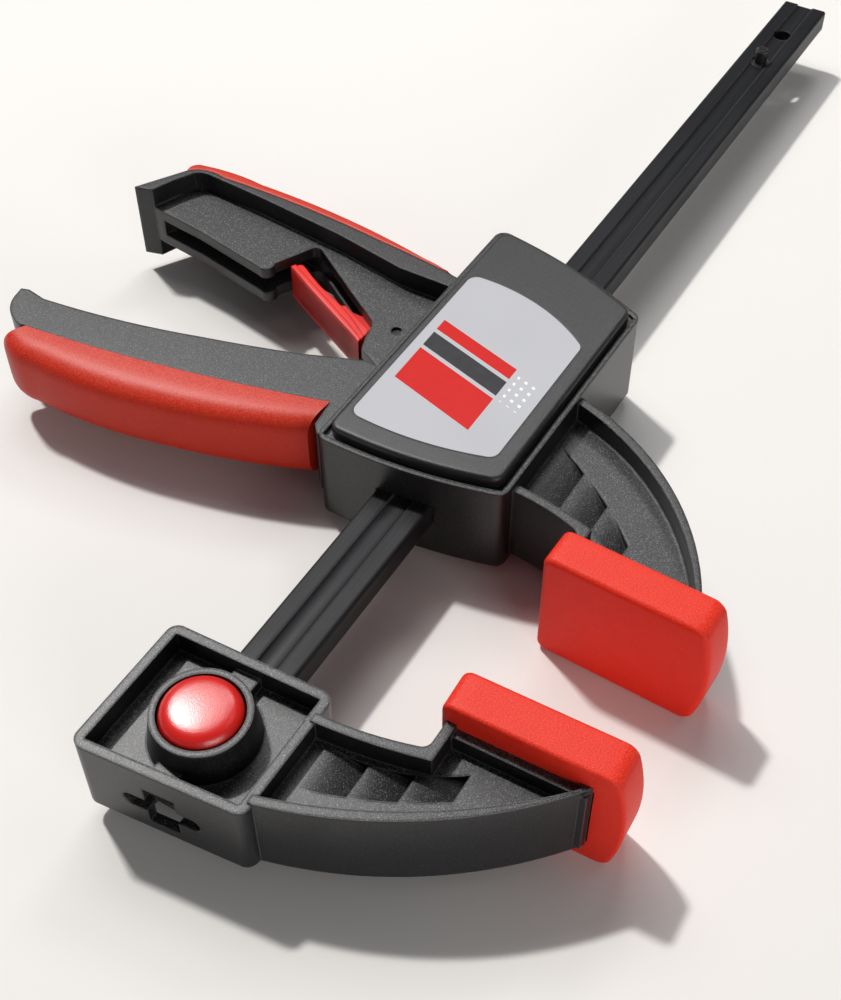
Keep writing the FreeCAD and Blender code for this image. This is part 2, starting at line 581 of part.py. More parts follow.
# curved arm of either jaw: a web with a flange along each edge and a head plate for the pad
def add_arm(body, side, name, root_x, root, wall_y, hook):
    sign = "+" if side > 0 else "-"
    start = "rest_opening" if side > 0 else "0"
    low = "(-pad_length / 2 + head_tip_margin)"
    high = "(pad_length / 2 - head_margin)"
    inside = "(%s + box_wall / 2)" % wall_y

    def plane(y, depth):
        return "(%s %s ((%s) / cos(jaw_toe) + (%s) * tan(jaw_toe)))" % (start, sign, depth, y)

    inner_x = root_x
    outer_x = "(%s %s %s)" % (root_x, sign, root)
    hook_x = "(%s %s %s)" % (plane(high, "pad_thickness"), sign, hook)
    outer_share, inner_share = ARM_SHARES[name]
    outer_mid = tuple("(%s + %s * (%s - %s))" % (a, share, b, a) for share, a, b in zip(
        outer_share, (outer_x, wall_y), (plane(low, "pad_thickness"), low)))
    inner_mid = tuple("(%s + %s * (%s - %s))" % (a, share, b, a) for share, a, b in zip(
        inner_share, (inner_x, wall_y), (hook_x, high)))
    web = new_sketch(body, "web")
    trace(web, [(outer_x, inside), (outer_x, wall_y), outer_mid + (plane(low, "pad_thickness"), low),
                (plane(high, "pad_thickness"), high), (hook_x, high), inner_mid + (inner_x, wall_y),
                (inner_x, inside)])
    pad(body, web, "web_height", symmetric=True)
    first, middle, end = INSET_SHARES
    back = "-" if side > 0 else "+"
    outer = new_sketch(body, "outer_flange")
    trace(outer, [(outer_x, inside), (outer_x, wall_y), outer_mid + (plane(low, "pad_thickness"), low),
                  (plane("%s + flange" % low, "pad_thickness"), "%s + flange" % low),
                  ("%s %s %s * flange" % (plane("%s + flange" % low, "pad_thickness"), sign, end[0]),
                   "%s + flange" % low),
                  ("%s %s %s * flange" % (outer_mid[0], back, middle[0]),
                   "%s + %s * flange" % (outer_mid[1], middle[1]),
                   "%s %s %s * flange" % (outer_x, back, first[0]), wall_y),
                  ("%s %s %s * flange" % (outer_x, back, first[0]), inside)])
    pad(body, outer, "arm_height", symmetric=True)
    inner = new_sketch(body, "inner_flange")
    trace(inner, [("%s %s flange" % (inner_x, sign), inside), ("%s %s flange" % (inner_x, sign), wall_y),
                  ("%s %s flange" % (inner_mid[0], sign), inner_mid[1],
                   "%s %s flange" % (hook_x, sign), "%s - flange" % high),
                  (plane("%s - flange" % high, "pad_thickness"), "%s - flange" % high),
                  (plane(high, "pad_thickness"), high), (hook_x, high), inner_mid + (inner_x, wall_y),
                  (inner_x, inside)])
    pad(body, inner, "arm_height", symmetric=True)
    round_edges(body, "hook_radius", upright_at([(hook_x, high)]))
    head = new_sketch(body, "head")
    low_in, high_in = "(%s + head_play)" % low, "(%s - head_play)" % high
    trace(head, [(plane(low_in, "pad_face_thickness"), low_in),
                 (plane(high_in, "pad_face_thickness"), high_in),
                 (plane(high_in, "pad_thickness + flange"), high_in),
                 (plane(low_in, "pad_thickness + flange"), low_in)])
    pad(body, head, "head_height", symmetric=True)


def lens_of(name, side, root_x, root, top):
    """The scoops' outline in plan, from the arm's root."""
    outer_x = "(%s %s %s)" % (root_x, "+" if side > 0 else "-", root)
    back = "-" if side > 0 else "+"
    points = [("%s %s %s * %s" % (outer_x, back, share[0], root), "%s - %s * scoop_pitch" % (top, share[1]))
              for share in LENS_SHARES[name]]
    return [points[0], points[1] + points[2], points[3], points[4] + points[5]]


# fixed jaw: one glass-filled nylon moulding, a box round the rail's end and a curved arm
def make_fixed_jaw():
    body = new_body("fixed_jaw_moulding")
    box = new_sketch(body, "box")
    trace(box, box_corners())
    pad(body, box, "box_height", symmetric=True)
    round_edges(body, "box_corner_radius", upright_at(box_corners()))
    for side in ("", "-"):
        recess = new_sketch(body, "recess" + ("_low" if side else "_high"), lift=side + "box_floor")
        trace(recess, box_corners("box_wall"))
        pocket(body, recess, "box_height", backwards=not side)
    root_x = "(%s + fixed_shoulder + fixed_root)" % box_front_x(BOX_JAW_Y)
    add_arm(body, -1, "fixed", root_x, "fixed_root", BOX_JAW_Y, "fixed_hook")
    collar = new_sketch(body, "collar", lift="box_floor - box_wall / 2")
    ring(collar, BUTTON_X, RAIL_Y, "collar_foot_radius")
    foot = pad(body, collar, "collar_top - box_floor + box_wall / 2")
    foot.setExpression("TaperAngle",
                       link("-atan((collar_foot_radius - collar_radius) / (collar_top - box_floor))"))
    doc.recompute()
    strips = new_sketch(body, "strips", lift="box_floor - box_wall / 2")
    rectangle(strips, box_front_x(RAIL_Y, "box_wall / 2"), "%s - strip_width / 2" % RAIL_Y,
              box_rear_x(RAIL_Y, "box_wall / 2"), "%s + strip_width / 2" % RAIL_Y)
    pad(body, strips, "strip_rise + box_wall / 2")
    bore = new_sketch(body, "bore", lift="bore_floor")
    ring(bore, BUTTON_X, RAIL_Y, "button_radius + button_play")
    pocket(body, bore, "overrun", backwards=True)
    pin_hole = new_sketch(body, "pin_hole")
    ring(pin_hole, BUTTON_X, RAIL_Y, "pin_diameter / 2 + pin_slip")
    pocket(body, pin_hole, "box_height", symmetric=True)
    passage = new_sketch(body, "passage", role="YZ_Plane", lift=RAIL_START)
    rectangle(passage, "%s - rail_width / 2 - rail_slip" % RAIL_Y, "-rail_thickness / 2 - rail_slip",
              "%s + rail_width / 2 + rail_slip" % RAIL_Y, "rail_thickness / 2 + rail_slip")
    pocket(body, passage, "box_length", backwards=True)
    for name, wide, tall in (("slot", "slot_length", "slot_height"),
                             ("key", "slot_key_width", "slot_key_height")):
        opening = new_sketch(body, name, role="YZ_Plane", lift="%s - box_front_rake" % BOX_FRONT)
        left, right = "%s - %s / 2" % (RAIL_Y, wide), "%s + %s / 2" % (RAIL_Y, wide)
        below, above = "-slot_drop - %s / 2" % tall, "-slot_drop + %s / 2" % tall
        if name == "slot":
            trace(opening, [(left, "-slot_drop", "%s + %s / 2" % (left, tall), below),
                            ("%s - %s / 2" % (right, tall), below),
                            (right, "-slot_drop", "%s - %s / 2" % (right, tall), above),
                            ("%s + %s / 2" % (left, tall), above)])
        else:
            rectangle(opening, left, below, right, above)
        pocket(body, opening, "box_front_rake + box_end_wall", backwards=True)
    top = "(%s - fixed_scoop_margin)" % BOX_JAW_Y
    scoops = scoop_body("fixed_jaw_scoops", top, lens_of("fixed", -1, root_x, "fixed_root", top))
    whole = doc.addObject("Part::Cut", "fixed_jaw")
    whole.Base = body
    whole.Tool = scoops
    doc.recompute()
    return keep(whole, "fixed_jaw")


# clamping pad: soft rubber cap over the jaw's head plate, both alike but for the side they face
def make_jaw_pad(label, side):
    body = new_body(label)
    outline = new_sketch(body, "outline", role="YZ_Plane")
    low, high = "(-pad_length / 2 + pad_tip_bulge / 2)", "(pad_length / 2)"
    trace(outline, [(high, "-pad_width / 2"), (high, "pad_width / 2"), (low, "pad_width / 2"),
                    ("%s - pad_tip_bulge" % low, "0", low, "-pad_width / 2")])
    pad(body, outline, "pad_thickness", backwards=side < 0)
    corners = [(size(high), size("pad_width") / 2), (size(low), size("pad_width") / 2)]
    near = size("seat_gap")

    def corner(edge):
        box = edge.BoundBox
        return box.XLength > near and box.YLength < near and box.ZLength < near and any(
            abs(box.YMin - y) < near and abs(abs(box.ZMin) - z) < near for y, z in corners)
    round_edges(body, "pad_corner_radius", corner)
    round_edges(body, "pad_edge_radius", lambda edge: abs(edge.BoundBox.XMax) < near
                and abs(edge.BoundBox.XMin) < near)
    hollow = new_sketch(body, "hollow", role="YZ_Plane",
                        lift="%spad_face_thickness" % ("" if side > 0 else "-"))
    rectangle(hollow, "-pad_length / 2 + head_tip_margin", "-head_height / 2",
              "pad_length / 2 - head_margin", "head_height / 2")
    pocket(body, hollow, "pad_thickness", backwards=side > 0)
    body.Placement.Rotation.Axis = FreeCAD.Vector(0, 0, 1)
    body.setExpression("Placement.Rotation.Angle", link("%sjaw_toe" % ("-" if side > 0 else "")))
    if side > 0:
        body.setExpression("Placement.Base.x", link("rest_opening"))
    return keep(body)


# release button: a domed cap whose skirt slides in the collar
def make_release_button():
    body = new_body("release_button")
    section = new_sketch(body, "section", role="XZ_Plane")
    edge = "(collar_top + button_rise)"
    roof = "(%s - button_roof)" % edge
    trace(section, [("0", roof), ("button_radius - button_wall", roof),
                    ("button_radius - button_wall", "%s - button_skirt" % edge),
                    ("button_radius", "%s - button_skirt" % edge), ("button_radius", edge),
                    ("button_radius / 2", "%s + button_crown * 3 / 4" % edge, "0",
                     "%s + button_crown" % edge)])
    turned(body, section, BUTTON_X, RAIL_Y)
    round_edges(body, "button_wall / 3", level_at(edge))
    return keep(body)


def turned(body, section, x, y):
    """A full turn of a section about its own Z axis, set down at a place."""
    revolution = body.newObject("PartDesign::Revolution", section.Name + "_turned")
    revolution.Profile = section
    revolution.ReferenceAxis = (section, ["V_Axis"])
    revolution.Angle = 360
    body.Tip = revolution
    doc.recompute()
    body.setExpression("Placement.Base.x", link(x))
    body.setExpression("Placement.Base.y", link(y))
    doc.recompute()
    return revolution


# lock pin: turned steel under the button, with a groove for its clip
def make_lock_pin():
    body = new_body("lock_pin")
    section = new_sketch(body, "section", role="XZ_Plane")
    top = "(collar_top + button_rise - button_roof)"
    low = "(-box_floor - pin_overhang)"
    clip = "(-box_floor - seat_gap)"
    radius, neck = "pin_diameter / 2", "(pin_diameter / 2 - pin_neck)"
    trace(section, [("0", low), (neck, low), (radius, "%s + pin_neck" % low),
                    (radius, "%s - clip_thickness" % clip), (neck, "%s - clip_thickness" % clip),
                    (neck, clip), (radius, clip), (radius, top), ("0", top)])
    turned(body, section, BUTTON_X, RAIL_Y)
    return keep(body)


# clip: spring steel ring that keeps the lock pin from rising out
def make_lock_pin_clip():
    body = new_body("lock_pin_clip")
    section = new_sketch(body, "section", role="XZ_Plane")
    high = "(-box_floor - seat_gap)"
    rectangle(section, "pin_diameter / 2 - pin_neck", "%s - clip_thickness" % high, "clip_radius", high)
    turned(body, section, BUTTON_X, RAIL_Y)
    return keep(body)


# coil spring, drawn as one continuous run of short straight pieces of wire
def coil(label, radius, wire, length, turns, place, rotation):
    radius, wire, length = size(radius), size(wire), size(length)
    steps = COIL_STEPS * turns
    loops = []
    for step in range(steps + 1):
        angle = 2 * math.pi * step / COIL_STEPS
        out = FreeCAD.Vector(math.cos(angle), math.sin(angle), 0)
        up = FreeCAD.Vector(0, 0, 1)
        middle = out * radius + up * (wire / 2 + (length - wire) * step / steps)
        loops.append([middle + out * (wire / 2 * math.cos(2 * math.pi * side / WIRE_SIDES))
                      + up * (wire / 2 * math.sin(2 * math.pi * side / WIRE_SIDES))
                      for side in range(WIRE_SIDES)])
    faces = [Part.Face(Part.makePolygon(loops[0] + loops[0][:1])),
             Part.Face(Part.makePolygon(loops[-1][::-1] + loops[-1][-1:]))]
    for near, far in zip(loops, loops[1:]):
        for side in range(WIRE_SIDES):
            after = (side + 1) % WIRE_SIDES
            for corners in ((near[side], far[side], far[after]), (near[side], far[after], near[after])):
                faces.append(Part.Face(Part.makePolygon(list(corners) + [corners[0]])))
    shell = Part.makeShell(faces)
    shell.sewShape()
    shape = Part.makeSolid(Part.Shell(shell.Faces))
    if shape.Volume < 0:
        shape.reverse()
    item = doc.addObject("Part::Feature", label)
    item.Shape = shape
    item.Placement = FreeCAD.Placement(FreeCAD.Vector(*[size(words) for words in place]), rotation)
    return keep(item, label)


def make_button_spring():
    return coil("button_spring", "button_spring_radius", "button_spring_wire",
                "collar_top + button_rise - button_roof - bore_floor", 4, (BUTTON_X, RAIL_Y, "bore_floor"),
                FreeCAD.Rotation())


def make_rail_springs():
    along = FreeCAD.Rotation(FreeCAD.Vector(0, 1, 0), 90)
    coil("drive_spring", "spring_radius", "spring_wire", "partition_gap", 4, (PLATES_END, RAIL_Y, "0"), along)
    coil("brake_spring", "spring_radius", "spring_wire", "brake_spring_length", 4,
         (BRAKE_SPRING_X, RAIL_Y, "0"), along)


def screw_places():
    """Where the four cover screws stand."""
    places = [("(%s + %s * housing_length)" % (HOUSING_FRONT, along),
               "(%s + %s * housing_width)" % (HOUSING_JAW_Y, across)) for along, across in SCREW_SHARES]
    return places + [("(%s - boss_radius + partition / 4)" % SEAT_X, places[-1][1])]


# sliding jaw's housing: a ring open at both faces, with the arm, the rear handle and the inner ribs
def make_sliding_housing():
    body = new_body("sliding_housing_moulding")
    ring_outline = new_sketch(body, "ring")
    trace(ring_outline, housing_corners())
    pad(body, ring_outline, "housing_height", symmetric=True)
    round_edges(body, "housing_corner_radius", upright_at(housing_corners()))
    cavity = new_sketch(body, "cavity")
    trace(cavity, housing_corners("housing_wall"))
    pocket(body, cavity, "housing_height + overrun", symmetric=True)
    root_x = "(%s + sliding_shoulder)" % front_x(HOUSING_JAW_Y)
    add_arm(body, 1, "sliding", root_x, "sliding_root", HOUSING_JAW_Y, "sliding_hook")
    ribs = new_sketch(body, "ribs")
    inside_jaw = "(%s + housing_wall / 2)" % HOUSING_JAW_Y
    inside_handle = "(%s - housing_wall / 2)" % HOUSING_HANDLE_Y
    rectangle(ribs, PARTITION_X, inside_jaw, "%s + partition" % PARTITION_X, "%s + partition_reach" % RAIL_Y)
    rectangle(ribs, SEAT_X, inside_jaw, "%s + partition" % SEAT_X, inside_handle)
    pad(body, ribs, "2 * %s" % COVER_SEAT_Z, symmetric=True)
    ridge = new_sketch(body, "ridge")
    inside = "(%s + partition / 2)" % PARTITION_X
    below, above = "(%s - fulcrum_radius)" % FULCRUM_Y, "(%s + fulcrum_radius)" % FULCRUM_Y
    trace(ridge, [(inside, below), (FULCRUM_X, below),
                  ("%s + fulcrum_radius" % FULCRUM_X, FULCRUM_Y, FULCRUM_X, above), (inside, above)])
    pad(body, ridge, "plate_height", symmetric=True)
    bosses = new_sketch(body, "bosses", lift="-%s" % COVER_SEAT_Z)
    for place in screw_places():
        ring(bosses, place[0], place[1], "boss_radius")
    pad(body, bosses, COVER_SEAT_Z)
    for side in ("", "-"):
        seat = new_sketch(body, "seat" + ("_low" if side else "_high"), lift=side + COVER_SEAT_Z)
        trace(seat, housing_corners("rim_lip"))
        pocket(body, seat, "cover_seat + overrun", backwards=not side)
    back = new_sketch(body, "back")
    trace(back, spread(BACK_SHARES, TRIGGER_X, HOUSING_HANDLE_Y, "handle_reach"))
    pad(body, back, "handle_height", symmetric=True)
    plates = new_sketch(body, "plates")
    trace(plates, spread(PLATE_SHARES, TRIGGER_X, HOUSING_HANDLE_Y, "handle_reach"))
    pad(body, plates, "handle_web_height", symmetric=True)
    gap = new_sketch(body, "gap")
    trace(gap, spread(GAP_SHARES, TRIGGER_X, HOUSING_HANDLE_Y, "handle_reach"))
    pocket(body, gap, "channel_height", symmetric=True)
    window_low = "(%s - housing_wall - seat_gap)" % HOUSING_HANDLE_Y
    window_high = "(%s + lever_play)" % HOUSING_HANDLE_Y
    window_front = "(%s + (%s) * lever_reach - lever_play)" % (LEVER_X, LEVER_SHARES[0][0])
    window_rear = "(%s + (%s) * lever_reach + 2 * lever_play)" % (LEVER_X, LEVER_SHARES[-2][0])
    window = new_sketch(body, "window")
    rectangle(window, window_front, window_low, window_rear, window_high)
    pocket(body, window, "lever_height + 2 * lever_play", symmetric=True)
    for side in ("", "-"):
        slot = new_sketch(body, "slot" + ("_low" if side else "_high"),
                          lift="%s(lever_height / 2 - lever_cheek - lever_play)" % side)
        rectangle(slot, "%s - lever_play" % window_rear, window_low, "%s + partition / 2" % PARTITION_X,
                  window_high)
        pocket(body, slot, "lever_cheek + 2 * lever_play", backwards=not side)
    tail = new_sketch(body, "tail_opening")
    rectangle(tail, "%s - tail_slot_length / 3" % TRIGGER_X, window_low,
              "%s + tail_slot_length * 2 / 3" % TRIGGER_X, "%s + housing_wall" % HOUSING_HANDLE_Y)
    pocket(body, tail, "channel_height", symmetric=True)
    passage = new_sketch(body, "passage", role="YZ_Plane", lift=HOUSING_FRONT)
    rectangle(passage, "%s - rail_width / 2 - rail_slip" % RAIL_Y, "-rail_thickness / 2 - rail_slip",
              "%s + rail_width / 2 + rail_slip" % RAIL_Y, "rail_thickness / 2 + rail_slip")
    pocket(body, passage, "2 * housing_length + overrun", symmetric=True)
    holes = new_sketch(body, "screw_holes", lift="-%s" % COVER_SEAT_Z)
    for place in screw_places():
        ring(holes, place[0], place[1], "screw_radius + boss_play")
    pocket(body, holes, COVER_SEAT_Z + " + seat_gap", backwards=True)
    pin_hole = new_sketch(body, "trigger_pin_hole")
    ring(pin_hole, TRIGGER_X, TRIGGER_Y, "trigger_pin_radius")
    pocket(body, pin_hole, "handle_web_height", symmetric=True)
    top = "(%s - sliding_scoop_margin)" % HOUSING_JAW_Y
    scoops = scoop_body("sliding_jaw_scoops", top, lens_of("sliding", 1, root_x, "sliding_root", top))
    whole = doc.addObject("Part::Cut", "sliding_housing")
    whole.Base = body
    whole.Tool = scoops
    doc.recompute()
    return keep(whole, "sliding_housing")


def cover_outline(inset):
    """The cover's outline."""
    return housing_corners("(%s + %s)" % (COVER_INSET, inset))


# covers: moulded lids, the upper one with posts for the screws and a sunk place for the label
def make_cover(label, up):
    sign = "" if up else "-"
    body = new_body(label)
    plan = new_sketch(body, "plan", lift=sign + COVER_SEAT_Z)
    trace(plan, cover_outline("0"))
    pad(body, plan, "%s - %s" % (COVER_TOP_Z, COVER_SEAT_Z), backwards=not up)
    round_edges(body, "cover_corner_radius", upright_at(cover_outline("0")))
    round_edges(body, "cover_edge_radius", level_at(sign + COVER_TOP_Z))
    if up:
        posts = new_sketch(body, "posts", lift="seat_gap")
        for place in screw_places():
            ring(posts, place[0], place[1], "post_radius")
        pad(body, posts, "%s + cover_seat / 2" % COVER_SEAT_Z)
        holes = new_sketch(body, "holes", lift="seat_gap")
        for place in screw_places():
            ring(holes, place[0], place[1], "screw_radius")
        pocket(body, holes, "screw_bite", backwards=True)
        label_place = new_sketch(body, "label_place", lift="%s - label_recess" % COVER_TOP_Z)
        trace(label_place, label_corners())
        pocket(body, label_place, "overrun", backwards=True)
        round_edges(body, "label_corner_radius", upright_at(label_corners()))
    else:
        holes = new_sketch(body, "holes", lift="-" + COVER_TOP_Z)
        for place in screw_places():
            ring(holes, place[0], place[1], "screw_radius + boss_play")
        pocket(body, holes, "overrun", backwards=True)
        sinks = new_sketch(body, "sinks", lift="-%s + screw_head_height" % COVER_TOP_Z)
        for place in screw_places():
            ring(sinks, place[0], place[1], "screw_head_radius + boss_play")
        pocket(body, sinks, "overrun")
    socket = new_sketch(body, "pin_socket", lift=sign + COVER_SEAT_Z)
    ring(socket, LEVER_X, LEVER_Y, "lever_pin_radius")
    pocket(body, socket, "lever_pin_sink", backwards=up)
    return keep(body)


def label_corners():
    """The label's outline: its handle-side edge runs along the cover's."""
    high = "(%s - %s - label_side_margin)" % (HOUSING_HANDLE_Y, COVER_INSET)
    low = "(%s - label_width)" % high
    inset = "(%s + label_front_margin)" % COVER_INSET
    middle = "((%s + %s) / 2)" % (low, high)

    def rear(y):
        return "(%s + label_length - (%s - %s) * housing_rear_rake / housing_width)" % (
            front_x(middle, inset), middle, y)
    return [("%s - housing_bulge" % front_x(middle, inset), middle, front_x(low, inset), low),
            (rear(low), low),
            ("%s + label_bulge" % rear(middle), middle, rear(high), high), (front_x(high, inset), high)]


# label: a thin printed plate let into the upper cover
def make_label_plate():
    body = new_body("label_plate")
    plan = new_sketch(body, "plan", lift="%s - label_recess" % COVER_TOP_Z)
    trace(plan, label_corners())
    pad(body, plan, "label_thickness")
    round_edges(body, "label_corner_radius", upright_at(label_corners()))
    return keep(body)


# cover screws: four alike, driven from the lower side
def make_cover_screws():
    body = new_body("cover_screws")
    heads = new_sketch(body, "heads", lift="-" + COVER_TOP_Z)
    shanks = new_sketch(body, "shanks", lift="-%s" % COVER_TOP_Z)
    drives = new_sketch(body, "drives", lift="-" + COVER_TOP_Z)
    for place in screw_places():
        ring(heads, place[0], place[1], "screw_head_radius")
        ring(shanks, place[0], place[1], "screw_radius")
        ring(drives, place[0], place[1], "screw_drive_radius")
    pad(body, heads, "screw_head_height")
    pad(body, shanks, "%s + screw_bite" % COVER_TOP_Z)
    pocket(body, drives, "screw_head_height / 2", backwards=True)
    return keep(body)


# soft strip moulded over the rear handle's back
def make_rear_grip():
    body = new_body("rear_handle_grip")
    plan = new_sketch(body, "plan")
    trace(plan, spread(STRIP_SHARES, TRIGGER_X, HOUSING_HANDLE_Y, "handle_reach"))
    pad(body, plan, "handle_height", symmetric=True)
    back = spread(STRIP_SHARES[1:3], TRIGGER_X, HOUSING_HANDLE_Y, "handle_reach")
    round_edges(body, "strip_round", run_between(back, "handle_height / 2"), "Chamfer")
    return keep(body)


# pump lever: a channel-shaped moulding whose two cheeks straddle the rail and push the drive plates
def make_pump_lever():
    body = new_body("pump_lever")
    outline = new_sketch(body, "outline")
    points = spread(LEVER_SHARES, LEVER_X, LEVER_Y, "lever_reach")
    nose_top = "%s + nose_above_rail * %s" % (NOSE_Y, NOSE_SHARE)
    trace(outline, points + [(NOSE_X, nose_top), (NOSE_X, NOSE_Y),
                             ("%s + lever_boss_radius" % LEVER_X, LEVER_Y),
                             ("%s - lever_boss_radius" % LEVER_X, LEVER_Y)])
    pad(body, outline, "lever_height", symmetric=True)
    hub = new_sketch(body, "hub")
    ring(hub, LEVER_X, LEVER_Y, "lever_boss_radius")
    pad(body, hub, "lever_height", symmetric=True)
    channel = new_sketch(body, "channel")
    far = "(%s + overrun)" % NOSE_X
    near = "(%s - lever_boss_radius - overrun)" % LEVER_X
    steps = spread(CHANNEL_SHARES, LEVER_X, LEVER_Y, "lever_reach")
    trace(channel, [(near, "%s + lever_boss_radius" % LEVER_Y), (far, "%s + lever_boss_radius" % LEVER_Y),
                    (far, steps[-1][1]), steps[-1]] + reverse_steps(steps) + [(near, steps[0][1])])
    pocket(body, channel, "lever_height - 2 * lever_cheek", symmetric=True)
    bore = new_sketch(body, "bore")
    ring(bore, LEVER_X, LEVER_Y, "lever_pin_radius + pin_play")
    pocket(body, bore, "lever_height", symmetric=True)
    return keep(body)


def reverse_steps(steps):
    """The same run walked backwards, without its last corner."""
    turned_round = []
    for index in range(len(steps) - 1, 0, -1):
        corner = steps[index - 1][-2:]
        turned_round.append(steps[index][:-2] + corner)
    return turned_round


# soft grip moulded over the pump lever's front
def make_pump_grip():
    body = new_body("pump_lever_grip")
    plan = new_sketch(body, "plan")
    trace(plan, spread(GRIP_SHARES, LEVER_X, LEVER_Y, "lever_reach"))
    pad(body, plan, "lever_height", symmetric=True)
    round_edges(body, "grip_round", run_between(spread(GRIP_SHARES[4:7], LEVER_X, LEVER_Y, "lever_reach"),
                                                "lever_height / 2"))
    return keep(body)


# trigger: a finger piece, a blade between the handle's plates and a tail that frees the brake
def make_release_trigger():
    body = new_body("release_trigger")
    finger = new_sketch(body, "finger")
    trace(finger, spread(FINGER_SHARES, TRIGGER_X, TRIGGER_Y, TRIGGER_REACH))
    pad(body, finger, "trigger_height", symmetric=True)
    shelf = new_sketch(body, "shelf")
    trace(shelf, spread(SHELF_SHARES, TRIGGER_X, TRIGGER_Y, TRIGGER_REACH))
    pad(body, shelf, "trigger_shelf", symmetric=True)
    blade = new_sketch(body, "blade")
    trace(blade, spread(BLADE_SHARES, TRIGGER_X, TRIGGER_Y, TRIGGER_REACH))
    pad(body, blade, "trigger_blade", symmetric=True)
    hub = new_sketch(body, "hub")
    ring(hub, TRIGGER_X, TRIGGER_Y, "trigger_hub_radius")
    pad(body, hub, "trigger_blade", symmetric=True)
    tail = new_sketch(body, "tail")
    low = "(%s - housing_wall - tail_reach)" % HOUSING_HANDLE_Y
    rear = "(%s + tail_thickness)" % TONGUE_X
    trace(tail, [("%s - trigger_hub_radius * 5 / 6" % TRIGGER_X, TRIGGER_Y),
                 (TONGUE_X, "%s - tail_reach" % HOUSING_HANDLE_Y), (TONGUE_X, low), (rear, low),
                 (rear, HOUSING_HANDLE_Y), ("%s + trigger_hub_radius * 5 / 6" % TRIGGER_X, TRIGGER_Y)])
    pad(body, tail, "trigger_blade", symmetric=True)
    bore = new_sketch(body, "bore")
    ring(bore, TRIGGER_X, TRIGGER_Y, "trigger_pin_radius + pin_play")
    pocket(body, bore, "trigger_blade", symmetric=True)
    return keep(body)


# pivot pins: plain ground steel
def make_pin(label, x, y, radius, length):
    body = new_body(label)
    end = new_sketch(body, "end")
    ring(end, x, y, radius)
    pad(body, end, length, symmetric=True)
    return keep(body)


# drive plates: two hardened steel plates that grip the rail as the lever pushes them
def make_drive_plate(label, x):
    body = new_body(label)
    face = new_sketch(body, "face", role="YZ_Plane", lift=x)
    half = "drive_plate_share * housing_width / 2"
    rectangle(face, "%s - %s" % (RAIL_Y, half), "-plate_height / 2", "%s + %s" % (RAIL_Y, half),
              "plate_height / 2")
    rectangle(face, "%s - rail_width / 2 - rail_slip" % RAIL_Y, "-rail_thickness / 2 - rail_slip",
              "%s + rail_width / 2 + rail_slip" % RAIL_Y, "rail_thickness / 2 + rail_slip")
    pad(body, face, "plate_thickness")
    return keep(body)


# brake plate: leans on its fulcrum so that its window bites the rail, and has a tongue for the trigger
def make_brake_plate():
    body = new_body("brake_plate")
    face = new_sketch(body, "face", role="YZ_Plane", lift="fulcrum_radius + seat_gap")
    low = "(-fulcrum_from_rail - brake_jaw_end)"
    shoulder = "(brake_shoulder - fulcrum_from_rail)"
    high, narrow = "plate_height / 2", "tongue_height / 2"
    trace(face, [(low, "-" + high), (shoulder, "-" + high), (shoulder, "-" + narrow),
                 (TONGUE_END, "-" + narrow), (TONGUE_END, narrow), (shoulder, narrow), (shoulder, high),
                 (low, high)])
    middle = "((fulcrum_radius + seat_gap + brake_thickness / 2) * tan(brake_tilt) / 2 - fulcrum_from_rail)"
    half = "(rail_width / 2 / cos(brake_tilt) + brake_thickness / 2 * tan(brake_tilt) + brake_play)"
    rectangle(face, "%s - %s" % (middle, half), "-rail_thickness / 2 - rail_slip",
              "%s + %s" % (middle, half), "rail_thickness / 2 + rail_slip")
    pad(body, face, "brake_thickness")
    body.Placement.Rotation.Axis = FreeCAD.Vector(0, 0, 1)
    body.setExpression("Placement.Rotation.Angle", link("-brake_tilt"))
    body.setExpression("Placement.Base.x", link(FULCRUM_X))
    body.setExpression("Placement.Base.y", link(FULCRUM_Y))
    return keep(body)


make_rail()
make_stop_pin()
make_fixed_jaw()
make_jaw_pad("fixed_jaw_pad", -1)
make_release_button()
make_lock_pin()
make_lock_pin_clip()
make_button_spring()
make_sliding_housing()
make_cover("upper_cover", True)
make_cover("lower_cover", False)
make_label_plate()
make_cover_screws()
make_jaw_pad("sliding_jaw_pad", 1)
make_rear_grip()
make_pump_lever()
make_pump_grip()
make_pin("lever_pivot_pin", LEVER_X, LEVER_Y, "lever_pin_radius", "2 * (%s + lever_pin_sink)" % COVER_SEAT_Z)
make_release_trigger()
make_pin("trigger_pivot_pin", TRIGGER_X, TRIGGER_Y, "trigger_pin_radius",
         "handle_web_height - 2 * trigger_pin_sink")
make_drive_plate("drive_plate_front", PLATES_X)
make_drive_plate("drive_plate_rear", "%s + plate_thickness + plate_gap" % PLATES_X)
make_brake_plate()
make_rail_springs()

doc.recompute()
for item in doc.Objects:
    if "Invalid" in item.State or "Error" in item.State:
        raise RuntimeError(item.Name + " failed: " + str(item.State))
os.makedirs("parts", exist_ok=True)
for item in SUBPARTS:
    shape = item.Shape
    if shape.isNull() or not shape.isValid() or not shape.Solids:
        raise RuntimeError(item.Label + " has no valid shape")
    shape.exportStep("parts/%s.step" % item.Label)
    box = shape.BoundBox
    print("%s: %d solid, %.1f by %.1f by %.1f mm" % (
        item.Label, len(shape.Solids), box.XLength, box.YLength, box.ZLength))
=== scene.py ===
import bpy
import bmesh
import cmath
import json
import math
from mathutils import Matrix, Vector


